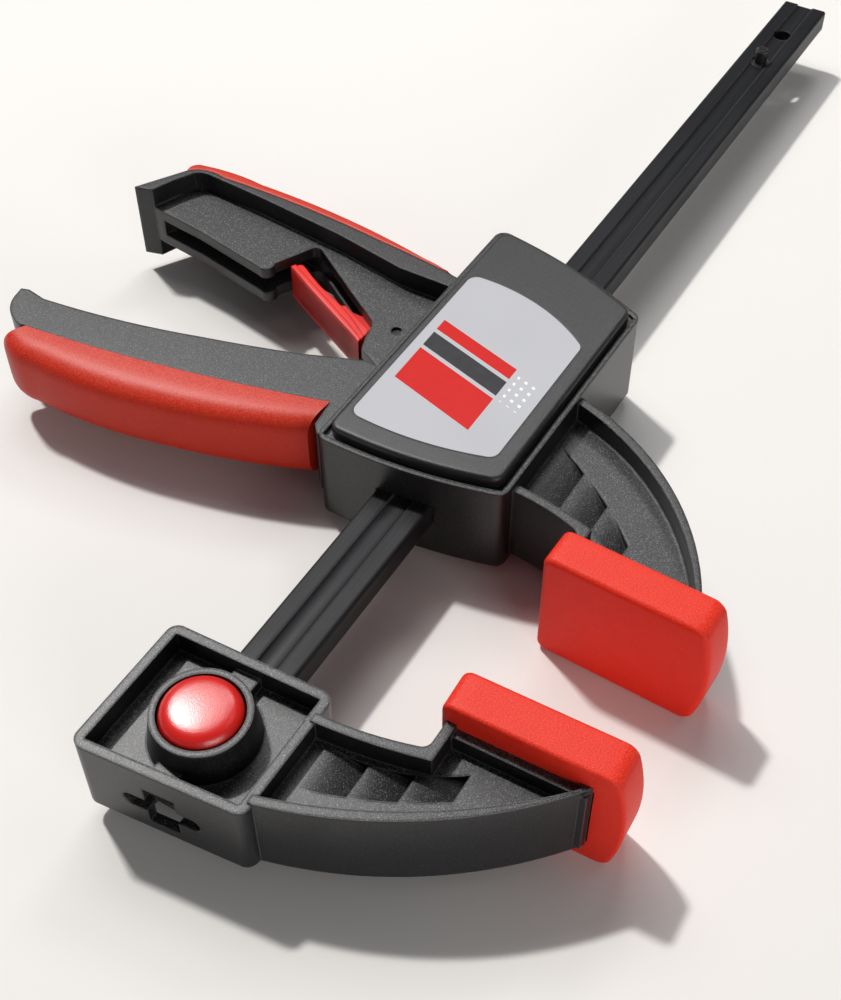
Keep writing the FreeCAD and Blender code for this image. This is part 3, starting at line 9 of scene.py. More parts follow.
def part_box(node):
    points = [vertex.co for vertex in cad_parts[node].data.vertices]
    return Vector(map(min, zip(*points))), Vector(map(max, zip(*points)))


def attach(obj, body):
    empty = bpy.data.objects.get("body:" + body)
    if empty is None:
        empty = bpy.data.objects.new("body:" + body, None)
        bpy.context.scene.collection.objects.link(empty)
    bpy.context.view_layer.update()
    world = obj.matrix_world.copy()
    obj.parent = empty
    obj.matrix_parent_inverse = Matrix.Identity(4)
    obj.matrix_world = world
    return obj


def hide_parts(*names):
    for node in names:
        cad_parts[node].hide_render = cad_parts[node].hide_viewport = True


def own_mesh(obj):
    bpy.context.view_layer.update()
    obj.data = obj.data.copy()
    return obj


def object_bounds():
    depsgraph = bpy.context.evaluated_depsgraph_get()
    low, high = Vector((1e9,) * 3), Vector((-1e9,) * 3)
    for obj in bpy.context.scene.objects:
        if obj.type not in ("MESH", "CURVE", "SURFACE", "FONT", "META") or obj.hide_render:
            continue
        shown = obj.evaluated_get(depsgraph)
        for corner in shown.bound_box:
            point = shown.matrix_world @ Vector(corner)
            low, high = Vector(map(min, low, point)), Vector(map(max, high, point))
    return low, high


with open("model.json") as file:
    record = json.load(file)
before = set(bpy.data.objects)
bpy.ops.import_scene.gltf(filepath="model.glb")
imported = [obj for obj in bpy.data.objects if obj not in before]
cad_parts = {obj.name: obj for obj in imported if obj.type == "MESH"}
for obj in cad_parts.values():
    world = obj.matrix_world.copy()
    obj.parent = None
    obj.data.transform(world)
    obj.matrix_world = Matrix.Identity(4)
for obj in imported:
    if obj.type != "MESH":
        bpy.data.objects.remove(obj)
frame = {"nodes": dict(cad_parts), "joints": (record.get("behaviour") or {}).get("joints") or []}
box_of_solids = [list(corner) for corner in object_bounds()]
solids = frame["nodes"]


# Rail
# Cold drawn flat steel, chemically blackened and oiled, so it shines dully along its length.
# Drawing has left fine lines along it and a round-floored groove in each broad face. Its edges are
# painted a little brighter, partly rubbed wear from sliding and partly painted highlight, and its end
# face inside the fixed jaw is painted near black as painted shade.

def box_middle(node):
    """The middle of a node's box at rest, to the nearest thousandth of a millimetre."""
    return [round((low + high) / 2, 6) for low, high in zip(*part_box(node))]


def box_height(node):
    """How far a node's box reaches up from the clamp's middle plane, just as near."""
    return round(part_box(node)[1].z, 6)


def start_finish(name, colour, roughness, metallic=0.0):
    finish = bpy.data.materials.new(name)
    finish.use_nodes = True
    tree = finish.node_tree
    shader = tree.nodes["Principled BSDF"]
    shader.inputs["Base Color"].default_value = (*colour, 1.0)
    shader.inputs["Roughness"].default_value = roughness
    shader.inputs["Metallic"].default_value = metallic
    return finish, tree, shader


def add_node(tree, kind, *numbered, settings=None, **named):
    """Adds a node. An input that is given another node's output is linked, one given a value is set."""
    node = tree.nodes.new(kind)
    for key, value in (settings or {}).items():
        setattr(node, key, value)
    given = list(zip(node.inputs, numbered))
    given += [(node.inputs[key.replace("_", " ")], value) for key, value in named.items()]
    for socket, value in given:
        if isinstance(value, bpy.types.NodeSocket):
            tree.links.new(value, socket)
        else:
            socket.default_value = value
    return node


def feed(shader, socket, source):
    shader.id_data.links.new(source, shader.inputs[socket])


def spot_on_piece(tree):
    return add_node(tree, "ShaderNodeTexCoord").outputs["Object"]


def stretched(tree, stretch=(1.0, 1.0, 1.0)):
    return add_node(tree, "ShaderNodeMapping", Vector=spot_on_piece(tree), Scale=stretch).outputs[0]


def noise(tree, spot, scale, detail, roughness=0.5):
    return add_node(tree, "ShaderNodeTexNoise", Vector=spot, Scale=scale, Detail=detail,
                    Roughness=roughness).outputs[0]


def reckon(tree, operation, first, second):
    return add_node(tree, "ShaderNodeMath", first, second, settings={"operation": operation}).outputs[0]


def spread(tree, value, reach, result):
    """Carries the two ends of reach over to the two ends of result, and holds there beyond them."""
    return add_node(tree, "ShaderNodeMapRange", Value=value, From_Min=reach[0], From_Max=reach[1],
                    To_Min=result[0], To_Max=result[1]).outputs[0]


def facing(tree, axis):
    normal = add_node(tree, "ShaderNodeNewGeometry").outputs["Normal"]
    return add_node(tree, "ShaderNodeSeparateXYZ", normal).outputs[axis]


def toned(tree, value, dark, pale, stops=(0.3, 0.7)):
    ramp = add_node(tree, "ShaderNodeValToRGB", Fac=value)
    for element, stop, colour in zip(ramp.color_ramp.elements, stops, (dark, pale)):
        element.position = stop
        element.color = (*colour, 1.0)
    return ramp.outputs["Color"]


def mixed(tree, value, low, high):
    """Goes from low, where the value is 0, to high, where it is 1. Each is a colour or an output."""
    low_colour, high_colour = 6, 7
    mix = add_node(tree, "ShaderNodeMix", value, settings={"data_type": "RGBA"})
    for index, colour in ((low_colour, low), (high_colour, high)):
        if isinstance(colour, tuple):
            mix.inputs[index].default_value = (*colour, 1.0)
        else:
            tree.links.new(colour, mix.inputs[index])
    return mix.outputs[2]


def eased(tree, radius, samples=4, **normal):
    return add_node(tree, "ShaderNodeBevel", settings={"samples": samples}, Radius=radius,
                    **normal).outputs[0]


# The finishes paint edges paler with this mask: on the nylon as painted highlight, on the steel partly as
# rubbed wear and partly as painted highlight.
def edge_wear_and_highlight(tree, radius):
    """0 on the flats and 1 on edges up to the radius, where the eased normal leaves the true one."""
    true_normal = add_node(tree, "ShaderNodeNewGeometry").outputs["Normal"]
    likeness = add_node(tree, "ShaderNodeVectorMath", eased(tree, radius), true_normal,
                        settings={"operation": "DOT_PRODUCT"}).outputs["Value"]
    return spread(tree, likeness, (1.0, 0.86), (0.0, 1.0))


def raised(tree, height, strength, distance, **normal):
    return add_node(tree, "ShaderNodeBump", Height=height, Strength=strength, Distance=distance,
                    **normal).outputs[0]


def dress(node, finish):
    for slot in solids[node].material_slots:
        slot.link = "OBJECT"
        slot.material = finish


rail_middle = box_middle("rail")[1]
groove_half_width = 0.0028
groove_roundness = 60.0
rail_edge_radius = 0.0012

rail_black, tree, shader = start_finish("blackened_steel", (0.012, 0.0125, 0.0145), 0.4, metallic=0.1)
shader.inputs["Specular IOR Level"].default_value = 0.2
lines = noise(tree, stretched(tree, (12.0, 900.0, 900.0)), scale=2.0, detail=5.0, roughness=0.62)
oxide = toned(tree, lines, (0.005, 0.005, 0.0065), (0.015, 0.016, 0.019), stops=(0.3, 0.75))
# The edges are painted brighter: partly rubbed wear, partly painted highlight.
rubbed_and_highlit = mixed(tree, edge_wear_and_highlight(tree, 0.0007), oxide, (0.07, 0.07, 0.075))
# The rail's end face, looking along -X into the fixed jaw, is painted near black as painted shade.
shaded_end_face = spread(tree, facing(tree, "X"), (-0.6, -0.95), (0.0, 1.0))
feed(shader, "Base Color", mixed(tree, shaded_end_face, rubbed_and_highlit, (0.0025, 0.0025, 0.003)))
blotches = noise(tree, stretched(tree, (1.0, 3.0, 3.0)), scale=28.0, detail=3.0)
feed(shader, "Roughness", spread(tree, blotches, (0.3, 0.7), (0.36, 0.48)))
across = add_node(tree, "ShaderNodeSeparateXYZ", spot_on_piece(tree)).outputs["Y"]
off_middle = reckon(tree, "SUBTRACT", across, rail_middle)
hollow = reckon(tree, "MULTIPLY", off_middle, off_middle)
round_floor = reckon(tree, "MINIMUM", hollow, groove_half_width ** 2)
groove = raised(tree, round_floor, strength=1.0, distance=groove_roundness)
drawn = raised(tree, lines, strength=0.12, distance=0.00005, Normal=groove)
feed(shader, "Normal", eased(tree, rail_edge_radius, samples=6, Normal=drawn))
dress("rail", rail_black)


# Stop pin, lock pin and its ring, pivot pins
# Small turned and ground steel pins, oiled. The stop pin stands in a hole near the rail's free end
# and keeps the sliding jaw from running off. It and the trigger's pin are blackened.

pin_steel, tree, shader = start_finish("ground_pin_steel", (0.33, 0.33, 0.34), 0.3, metallic=1.0)
rings = noise(tree, stretched(tree, (400.0, 400.0, 4000.0)), scale=1.0, detail=3.0)
feed(shader, "Base Color", toned(tree, rings, (0.24, 0.24, 0.25), (0.42, 0.42, 0.43)))
feed(shader, "Normal", raised(tree, rings, strength=0.1, distance=0.00003))
for node in ("lock_pin", "lock_pin_clip", "lever_pivot_pin"):
    dress(node, pin_steel)

pin_black, tree, shader = start_finish("blackened_pin_steel", (0.035, 0.035, 0.038), 0.3, metallic=0.6)
rings = noise(tree, stretched(tree, (600.0, 600.0, 3000.0)), scale=1.0, detail=3.0)
blackened = toned(tree, rings, (0.02, 0.02, 0.022), (0.05, 0.05, 0.053))
# Their edges are painted paler, partly wear and partly painted highlight.
feed(shader, "Base Color", mixed(tree, edge_wear_and_highlight(tree, 0.0006), blackened, (0.2, 0.2, 0.2)))
for node in ("stop_pin", "trigger_pivot_pin"):
    dress(node, pin_black)


# Fixed jaw
# One moulding of glass-filled nylon: a box round the rail's end, a curved arm with scooped webs.
# The spark-eroded mould leaves a fine grain, smoother on the sides. Its glitter is painted as pale specks
# on the upward faces, as painted glints, and its edges are painted paler as painted highlight.

def nylon(name, dark, pale, grain):
    finish, tree, shader = start_finish(name, dark, 0.5)
    spot = stretched(tree)
    speckle = noise(tree, spot, scale=grain, detail=2.0, roughness=0.7)
    cloud = noise(tree, spot, scale=60.0, detail=3.0)
    level = spread(tree, facing(tree, "Z"), (0.2, 0.9), (0.25, 1.0))
    # Pale specks are painted mostly on the upward faces: painted glints where the tops catch the light.
    painted_glints = reckon(tree, "MULTIPLY", spread(tree, speckle, (0.54, 0.68), (0.0, 1.0)), level)
    darker, paler = (tuple(share * part for part in dark) for share in (0.75, 1.2))
    grain_and_painted_glints = mixed(tree, painted_glints, mixed(tree, cloud, darker, paler), pale)
    # The edges are painted paler as painted highlight.
    painted_edge_highlight = reckon(tree, "MULTIPLY", edge_wear_and_highlight(tree, 0.00035), 0.5)
    feed(shader, "Base Color", mixed(tree, painted_edge_highlight, grain_and_painted_glints, (0.24, 0.24, 0.25)))
    feed(shader, "Roughness", spread(tree, level, (0.25, 1.0), (0.33, 0.38)))
    relief = spread(tree, level, (0.25, 1.0), (0.25, 0.5))
    feed(shader, "Normal", eased(tree, 0.001, Normal=raised(tree, speckle, relief, distance=0.0001)))
    return finish


black_nylon = nylon("glass_filled_nylon", (0.0065, 0.0065, 0.0075), (0.19, 0.19, 0.2), grain=3600.0)
dress("fixed_jaw", black_nylon)


# Jaw pads
# Soft red caps pushed over the jaws' head plates, with rounded edges and a swollen tip.
# Their faces have a fine leathery grain where the mould was etched, painted paler on the upward faces as
# painted sheen.

def red_rubber(name, deep, bright, roughness, relief):
    finish, tree, shader = start_finish(name, deep, roughness)
    shader.inputs["Specular IOR Level"].default_value = 0.2
    spot = stretched(tree)
    pores = add_node(tree, "ShaderNodeTexVoronoi", Vector=spot, Scale=1500.0).outputs["Distance"]
    mottle = noise(tree, spot, scale=180.0, detail=5.0, roughness=0.65)
    fine = noise(tree, spot, scale=3200.0, detail=3.0)
    level = spread(tree, facing(tree, "Z"), (0.3, 0.9), (0.35, 1.0))
    # The fine grain is painted pale salmon on the upward faces only, as painted sheen.
    grain = reckon(tree, "MULTIPLY", spread(tree, fine, (0.42, 0.75), (0.0, 0.4)), level)
    feed(shader, "Base Color", mixed(tree, grain, mixed(tree, mottle, deep, bright), (0.86, 0.22, 0.15)))
    hills = reckon(tree, "ADD", pores, fine)
    feed(shader, "Normal", raised(tree, reckon(tree, "MULTIPLY", hills, level), relief, distance=0.00012))
    return finish


def pad_loop(tip, heel, half_width, corner, swelling, shrink=0.0):
    """One closed line round a pad, seen along the rail: a rounded oblong that swells at its tip."""
    tip, heel, half_width = tip + shrink, heel - shrink, half_width - shrink
    corner = max(corner - shrink, 0.0003)
    far, near, wide = heel - corner, tip + corner, half_width - corner
    turns = (complex(far, wide), complex(near, wide), complex(near, -wide), complex(far, -wide))
    line = []
    for number, middle in enumerate(turns):
        way = math.radians(90 * number)
        begin = turns[number - 1] + cmath.rect(corner, way)
        end = middle + cmath.rect(corner, way)
        count = 12 if number % 2 == 0 else 14
        line += [begin + (end - begin) * step / count for step in range(count)]
        line += [middle + cmath.rect(corner, way + math.radians(15 * step)) for step in range(6)]
    plain_share = 0.6
    loop = []
    for spot in line:
        way_share = (heel - spot.real) / (heel - tip)
        tip_share = max(0.0, (way_share - plain_share) / (1 - plain_share))
        middle_share = 1 - (spot.imag / half_width) ** 2
        loop.append((spot.real - swelling * middle_share * tip_share, spot.imag))
    return loop


def hold_mesh(name, mesh, finish, crease_angle=None):
    """Makes an object of a mesh in one finish, smooth but for creases sharper than the angle."""
    piece = bpy.data.objects.new(name, mesh)
    bpy.context.scene.collection.objects.link(piece)
    mesh.materials.clear()
    mesh.materials.append(finish)
    for face in mesh.polygons:
        face.use_smooth = True
        face.material_index = 0
    if crease_angle:
        mesh.set_sharp_from_angle(angle=math.radians(crease_angle))
    return piece


def skin_loops(name, loops, finish):
    """Skins a row of closed lines that have as many points each, and closes both ends."""
    shape = bmesh.new()
    rows = [[shape.verts.new(point) for point in loop] for loop in loops]
    for near, far in zip(rows, rows[1:]):
        for index in range(len(near)):
            after = (index + 1) % len(near)
            shape.faces.new((near[index], near[after], far[after], far[index]))
    shape.faces.new(rows[0][::-1])
    shape.faces.new(rows[-1])
    bmesh.ops.recalc_face_normals(shape, faces=shape.faces)
    mesh = bpy.data.meshes.new(name)
    shape.to_mesh(mesh)
    shape.free()
    return hold_mesh(name, mesh, finish, crease_angle=38)


pad_tip, pad_heel = -0.02035, 0.02175
pad_half_width = box_height("fixed_jaw_pad")
pad_thickness = 0.011
pad_corner = 0.0028
pad_swelling = 0.0028
pad_front_round = 0.0014
pad_back_round = 0.0009
pad_tilt = 1.8
pocket_tip, pocket_heel = -0.01525, 0.01975
pocket_half_width = 0.0105
pocket_corner = 0.0003
pocket_floor = 0.00505
gap_at_rest = box_middle("fixed_jaw_pad")[0] + box_middle("sliding_jaw_pad")[0]

pad_red = red_rubber("soft_jaw_red", (0.70, 0.015, 0.005), (0.82, 0.026, 0.009), roughness=0.5,
                     relief=0.25)
# The layers of a pad from its face back: how deep each lies and how much smaller it is all round.
pad_layers = [(0.0, inset) for inset in (0.0125, 0.009, 0.005, pad_front_round + 0.0006)]
for angle in (0, 18, 36, 54, 72, 90):
    turned = cmath.rect(pad_front_round, math.radians(angle))
    pad_layers.append((pad_front_round - turned.real, pad_front_round - turned.imag))
pad_layers += [(depth, 0.0) for depth in (0.003, 0.006, 0.0085)]
for angle in (0, 30, 60, 90):
    turned = cmath.rect(pad_back_round, math.radians(angle))
    pad_layers.append((pad_thickness - pad_back_round + turned.imag, pad_back_round - turned.real))
for side, name, body, start in (
        (-1, "fixed_jaw_pad", "rail_frame", 0.0), (1, "sliding_jaw_pad", "sliding_jaw", gap_at_rest)):
    flat_loops = [(depth, pad_loop(pad_tip, pad_heel, pad_half_width, pad_corner, pad_swelling, shrink))
                  for depth, shrink in pad_layers]
    pocket_line = pad_loop(pocket_tip, pocket_heel, pocket_half_width, pocket_corner, swelling=0.0)
    flat_loops += [(depth, pocket_line) for depth in (pad_thickness, pocket_floor)]
    tilt = Matrix.Rotation(math.radians(-pad_tilt * side), 3, "Z")
    loops = [[tilt @ Vector((side * depth, y, z)) for y, z in loop] for depth, loop in flat_loops]
    pad = skin_loops(name + "_rubber", loops, pad_red)
    pad.data.transform(Matrix.Translation((start, 0.0, 0.0)))
    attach(pad, body)
    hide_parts(name)


# Release button
# Satin red cap with a domed top, sliding in the collar of the fixed jaw. It is injection moulded
# and pushed onto the lock pin.

button_x = box_middle("release_button")[0]
dome_rise = 0.0018
button_rim = box_height("release_button") - dome_rise
button_sides = 64
least_radius = 0.00002
button_profile = [
    (0.0, dome_rise), (0.002, 0.00178), (0.004, 0.0017), (0.0055, 0.00159), (0.0066, 0.00147),
    (0.0073, 0.00132), (0.0079, 0.00108), (0.0085, 0.00067), (0.009, 0.00012), (0.00938, -0.0006),
    (0.0096, -0.0014), (0.0097, -0.0023), (0.0097, -0.006), (0.0081, -0.006), (0.0081, -0.0018),
    (0.0, -0.0018)]

button_red, tree, shader = start_finish("polished_button_red", (0.62, 0.014, 0.012), 0.16)
shader.inputs["Specular IOR Level"].default_value = 0.35
shader.inputs["Coat Weight"].default_value = 0.65
shader.inputs["Coat IOR"].default_value = 1.62
shader.inputs["Coat Roughness"].default_value = 0.24
swirl = noise(tree, stretched(tree), scale=90.0, detail=4.0)
feed(shader, "Base Color", mixed(tree, swirl, (0.60, 0.008, 0.005), (0.72, 0.012, 0.008)))
feed(shader, "Roughness", spread(tree, swirl, (0.3, 0.7), (0.3, 0.4)))
satin = raised(tree, noise(tree, stretched(tree), scale=3200.0, detail=2.0), strength=0.4, distance=0.0001)
feed(shader, "Normal", satin)
feed(shader, "Coat Normal", satin)

loops = []
for radius, rise in button_profile:
    angles = [math.tau * step / button_sides for step in range(button_sides)]
    turns = [cmath.rect(max(radius, least_radius), angle) for angle in angles]
    loops.append([(button_x + turn.real, rail_middle + turn.imag, button_rim + rise) for turn in turns])
button = skin_loops("release_button_cap", loops, button_red)
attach(button, "button")
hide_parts("release_button")


# Springs
# Coils of drawn spring wire: one lifts the button, one returns the drive plates and one keeps the
# brake plate leaning. All are out of sight inside the mouldings.

def drawn_mesh(name, drawing):
    """Turns a curve into a mesh and leaves nothing of the curve's object."""
    holder = bpy.data.objects.new(name, drawing)
    bpy.context.scene.collection.objects.link(holder)
    mesh = bpy.data.meshes.new_from_object(holder.evaluated_get(bpy.context.evaluated_depsgraph_get()))
    bpy.data.objects.remove(holder)
    return mesh


coil_turns = 4
steps_in_turn = 24
wire_share = 0.98

spring_wire, tree, shader = start_finish("spring_wire", (0.3, 0.3, 0.31), 0.32, metallic=1.0)
streaks = noise(tree, stretched(tree), scale=900.0, detail=3.0)
feed(shader, "Base Color", toned(tree, streaks, (0.2, 0.2, 0.21), (0.4, 0.4, 0.41)))
for name, body, radius, wire, length, upright in (
        ("button_spring", "button", 0.0052, 0.0008, 0.0078, True),
        ("drive_spring", "sliding_jaw", 0.0099, 0.0013, 0.016, False),
        ("brake_spring", "sliding_jaw", 0.0099, 0.0013, 0.014, False)):
    middle = box_middle(name)
    coil = bpy.data.curves.new(name + "_line", "CURVE")
    coil.dimensions = "3D"
    coil.bevel_depth = wire / 2 * wire_share
    coil.bevel_resolution = 3
    coil.use_fill_caps = True
    line = coil.splines.new("POLY")
    line.points.add(coil_turns * steps_in_turn)
    for step, point in enumerate(line.points):
        turn = cmath.rect(radius, math.tau * step / steps_in_turn)
        along = (length - wire) * (step / (coil_turns * steps_in_turn) - 0.5)
        spot = (turn.real, turn.imag, along) if upright else (along, turn.imag, -turn.real)
        point.co = (*(Vector(spot) + Vector(middle)), 1.0)
    spring = hold_mesh(name + "_wire", drawn_mesh(name + "_line", coil), spring_wire)
    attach(spring, body)
    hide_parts(name)
    x, y, z = middle
    if name == "button_spring":
        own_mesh(spring)
    if name == "drive_spring":
        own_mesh(spring)


# Housing and covers
# The sliding jaw is a second nylon moulding: a ring with the arm and the rear handle, closed by
# two lids that are let into its rim and held by four screws from the hidden side.

dress("sliding_housing", black_nylon)
lid_nylon = nylon("grained_lid_nylon", (0.0095, 0.0095, 0.0105), (0.05, 0.05, 0.055), grain=4000.0)
dress("upper_cover", lid_nylon)
dress("lower_cover", lid_nylon)


# Cover screws
# Four thread-forming screws of zinc plated steel. They are driven from the hidden side and sit
# sunk in the lower lid.

zinc, tree, shader = start_finish("zinc_plate", (0.3, 0.3, 0.31), 0.35, metallic=1.0)
patches = noise(tree, stretched(tree), scale=700.0, detail=4.0)
feed(shader, "Base Color", toned(tree, patches, (0.16, 0.16, 0.17), (0.34, 0.34, 0.36)))
dress("cover_screws", zinc)


# Label
# Thin satin plate glued in a sunk place of the upper lid, screen printed with a plain red block, a
# dark and a red stripe and a few pale squares.

def within(tree, value, low, high):
    node = add_node(tree, "ShaderNodeMath", value, (low + high) / 2, (high - low) / 2,
                    settings={"operation": "COMPARE"})
    return node.outputs[0]


print_slant = 0.277
band_across = (0.0578, 0.0842)
red_block = (0.0658, 0.0790)
dark_stripe = (0.0803, 0.0862)
red_stripe = (0.0875, 0.0918)
squares_along = (0.0795, 0.0905)
squares_across = (0.0495, 0.0562)
half_pitch = 0.0013
square_reach = (0.00085, half_pitch)

label_grey, tree, shader = start_finish("printed_label_grey", (0.50, 0.51, 0.54), 0.42)
shader.inputs["Specular IOR Level"].default_value = 0.15
spot = spot_on_piece(tree)
place = add_node(tree, "ShaderNodeSeparateXYZ", spot)
across = place.outputs["Y"]
lean = reckon(tree, "MULTIPLY", reckon(tree, "SUBTRACT", across, rail_middle), print_slant)
along = reckon(tree, "SUBTRACT", place.outputs["X"], lean)
haze = noise(tree, spot, scale=45.0, detail=2.0)
ink = noise(tree, spot, scale=400.0, detail=3.0)
weave = noise(tree, spot, scale=2500.0, detail=2.0)
red_ink = mixed(tree, ink, (0.56, 0.006, 0.004), (0.63, 0.010, 0.007))
dark_ink = mixed(tree, ink, (0.025, 0.025, 0.028), (0.045, 0.045, 0.05))
print_colour = mixed(tree, haze, (0.46, 0.465, 0.495), (0.51, 0.515, 0.545))
band = within(tree, across, *band_across)
for stripe, colour in ((red_block, red_ink), (dark_stripe, dark_ink), (red_stripe, red_ink)):
    printed = reckon(tree, "MULTIPLY", band, within(tree, along, *stripe))
    print_colour = mixed(tree, printed, print_colour, colour)
dots = reckon(tree, "MULTIPLY", *(
    within(tree, reckon(tree, "PINGPONG", way, half_pitch), *square_reach) for way in (along, across)))
field = reckon(tree, "MULTIPLY", within(tree, along, *squares_along), within(tree, across, *squares_across))
print_colour = mixed(tree, reckon(tree, "MULTIPLY", dots, field), print_colour, (0.86, 0.87, 0.88))
feed(shader, "Base Color", print_colour)
feed(shader, "Normal", raised(tree, weave, strength=0.06, distance=0.00003))
dress("label_plate", label_grey)


# Pump lever and its grip
# A nylon channel that straddles the rail; squeezing it drives the jaw along. Its front is covered
# by a soft red grip, moulded on, deepest at the fingers and running out at both ends.

def bent(begin, through, end, count):
    """The points of the arc from begin by way of through to end, but for its first point."""
    first, second, third = complex(*begin), complex(*through), complex(*end)
    ratio = (third - first) / (second - first)
    middle = first + (second - first) * (ratio - abs(ratio) ** 2) / (2j * ratio.imag)
    start, halfway, stop = (cmath.phase(point - middle) for point in (first, second, third))
    sweep = (stop - start) % math.tau
    if (halfway - start) % math.tau > sweep:
        sweep -= math.tau
    radius = abs(first - middle)
    arc = [middle + cmath.rect(radius, start + sweep * step / count) for step in range(1, count + 1)]
    return [(point.real, point.imag) for point in arc]


# The outlines of this section and of the next two are in millimetres.
grip_half_height = 1000 * box_height("pump_lever_grip")
front_squareness = 3.2
side_squareness = 5.0
end_height_share = 0.75
closing_share = 0.03
grip_behind = [(59.4, 97.25)] + bent((59.4, 97.2), (55.0, 113.0), (50.1, 133.4), 22)
grip_behind += bent((50.1, 133.4), (44.4, 163.2), (41.0, 189.0), 26)
grip_ahead = [(49.6, 98.3)] + bent((49.4, 98.2), (41.2, 119.2), (35.4, 141.4), 22)
grip_ahead += bent((35.4, 141.4), (32.3, 160.5), (32.0, 179.0), 20)
grip_ahead += bent((32.0, 179.0), (33.0, 187.5), (37.0, 192.6), 6)

dress("pump_lever", black_nylon)
grip_red = red_rubber("soft_grip_red", (0.47, 0.014, 0.004), (0.57, 0.024, 0.007), roughness=0.4,
                      relief=0.15)
loops = []
for number, (behind, ahead) in enumerate(zip(grip_behind, grip_ahead)):
    to_go_share = 1.0 - number / (len(grip_behind) - 1)
    height_share = min(1.0, end_height_share + to_go_share / closing_share)
    loop = []
    for step in range(25):
        turn = cmath.rect(1.0, math.radians(-90 + 7.5 * step))
        ahead_share = abs(turn.real) ** (2 / front_squareness)
        height = math.copysign(abs(turn.imag) ** (2 / side_squareness), turn.imag) * grip_half_height
        x, y = (back + (front - back) * ahead_share for back, front in zip(behind, ahead))
        loop.append(Vector((x / 1000, y / 1000, height * height_share / 1000)))
    loops.append(loop)
grip = skin_loops("pump_lever_soft_grip", loops, grip_red)
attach(grip, "pump_lever")
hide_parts("pump_lever_grip")


# Rear handle strip
# The same soft red rubber as the grip. It is moulded over the back of the rear handle, where the
# palm bears, and hooks round the handle's end.

def moulded(name, blocks, finish):
    """Joins flat blocks with rounded edges, each given by outlines, half height and edge radius."""
    whole = bmesh.new()
    for outlines, half_height, radius in blocks:
        drawing = bpy.data.curves.new(name + "_outline", "CURVE")
        drawing.dimensions = "2D"
        drawing.fill_mode = "BOTH"
        drawing.bevel_depth = radius / 1000
        drawing.bevel_resolution = 3
        drawing.offset = -radius / 1000
        drawing.extrude = half_height / 1000 - radius / 1000
        for outline in outlines:
            line = drawing.splines.new("POLY")
            line.points.add(len(outline) - 1)
            line.use_cyclic_u = True
            for point, (x, y) in zip(line.points, outline):
                point.co = (x / 1000, y / 1000, 0.0, 1.0)
        block = drawn_mesh(name + "_outline", drawing)
        whole.from_mesh(block)
        bpy.data.meshes.remove(block)
    weld_distance = 0.000002
    bmesh.ops.remove_doubles(whole, verts=whole.verts, dist=weld_distance)
    mesh = bpy.data.meshes.new(name)
    whole.to_mesh(mesh)
    whole.free()
    return hold_mesh(name, mesh, finish, crease_angle=35)


strip_line = [(118.54, 93.3)] + bent((118.54, 93.3), (120.4, 98.8), (121.4, 105.3), 6)
strip_line += bent((121.4, 105.3), (125.6, 136.0), (126.3, 166.0), 22)
strip_line += bent((126.3, 166.0), (126.6, 178.0), (125.3, 187.2), 8)
strip_line += bent((125.3, 187.2), (124.4, 189.6), (120.0, 190.2), 6)
strip_line += bent((120.0, 190.2), (123.3, 184.5), (122.9, 178.5), 6)
strip_line += bent((122.9, 178.5), (123.4, 150.0), (121.3, 119.5), 22)
strip_line += bent((121.3, 119.5), (120.0, 104.5), (118.54, 93.3), 8)[:-1]
strip_half_height = 1000 * box_height("rear_handle_grip")
strip = moulded("rear_handle_soft_strip", [([strip_line], strip_half_height, 0.6)], grip_red)
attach(strip, "sliding_jaw")
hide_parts("rear_handle_grip")


# Trigger
# Satin red moulding under the index finger. A thin blade between the handle's plates carries it
# on its pin, and a tail inside the housing pushes the brake plate upright.

trigger_pin = next(joint["pos_m"] for joint in frame["joints"] if joint["name"] == "trigger_pivot")
pin_x, pin_y = 1000 * trigger_pin[0], 1000 * trigger_pin[1]
bore_radius = 1.56
bore_sides = 32
front_edge = [(104.9, 141.5), (99.3, 130.6), (91.1, 114.1)]
front_edge += bent((91.1, 114.1), (89.1, 109.9), (87.1, 106.4), 4)
block = front_edge + [(90.9, 106.9)] + bent((90.9, 106.9), (95.3, 113.6), (102.6, 129.6), 10)
block += [(107.7, 138.4), (108.0, 139.4), (107.5, 140.2)]
ridge = front_edge + [(88.9, 106.6), (93.0, 113.8), (101.2, 130.2), (106.5, 140.7)]
shelf = [(89.6, 107.0), (94.5, 107.4), (100.1, 119.1)]
shelf += bent((100.1, 119.1), (99.3, 121.0), (99.8, 122.8), 6)
shelf += [(107.2, 136.8), (105.6, 138.2), (97.0, 122.0)]
blade = [(100.0, 118.8), (96.0, 119.8), (91.1, 108.4), (92.1, 99.5)]
blade += bent((92.1, 99.5), (93.3, 96.6), (95.8, 95.33), 5)
blade += [(98.3, 91.5), (98.3, 88.4), (102.4, 88.4), (102.4, 92.0)]
blade += bent((100.3, 98.3), (100.49, 98.9), (100.5, 99.5), 2) + [(100.1, 112.0)]
bore = [cmath.rect(bore_radius, math.tau * step / bore_sides) for step in range(bore_sides)]
bore = [(pin_x + turn.real, pin_y + turn.imag) for turn in bore]

trigger_red, tree, shader = start_finish("moulded_trigger_red", (0.5, 0.007, 0.004), 0.42)
flow = noise(tree, stretched(tree), scale=140.0, detail=4.0)
feed(shader, "Base Color", mixed(tree, flow, (0.64, 0.009, 0.004), (0.80, 0.016, 0.007)))
skin = raised(tree, noise(tree, stretched(tree), scale=1500.0, detail=2.0), strength=0.1, distance=0.00004)
feed(shader, "Normal", eased(tree, 0.0005, Normal=skin))
trigger_blocks = [([ridge], 5.95, 0.35), ([block], 5.2, 0.4), ([shelf], 4.3, 0.5),
                  ([blade, bore], 2.45, 0.05)]
trigger = moulded("release_trigger_moulding", trigger_blocks, trigger_red)
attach(trigger, "release_trigger")
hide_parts("release_trigger")


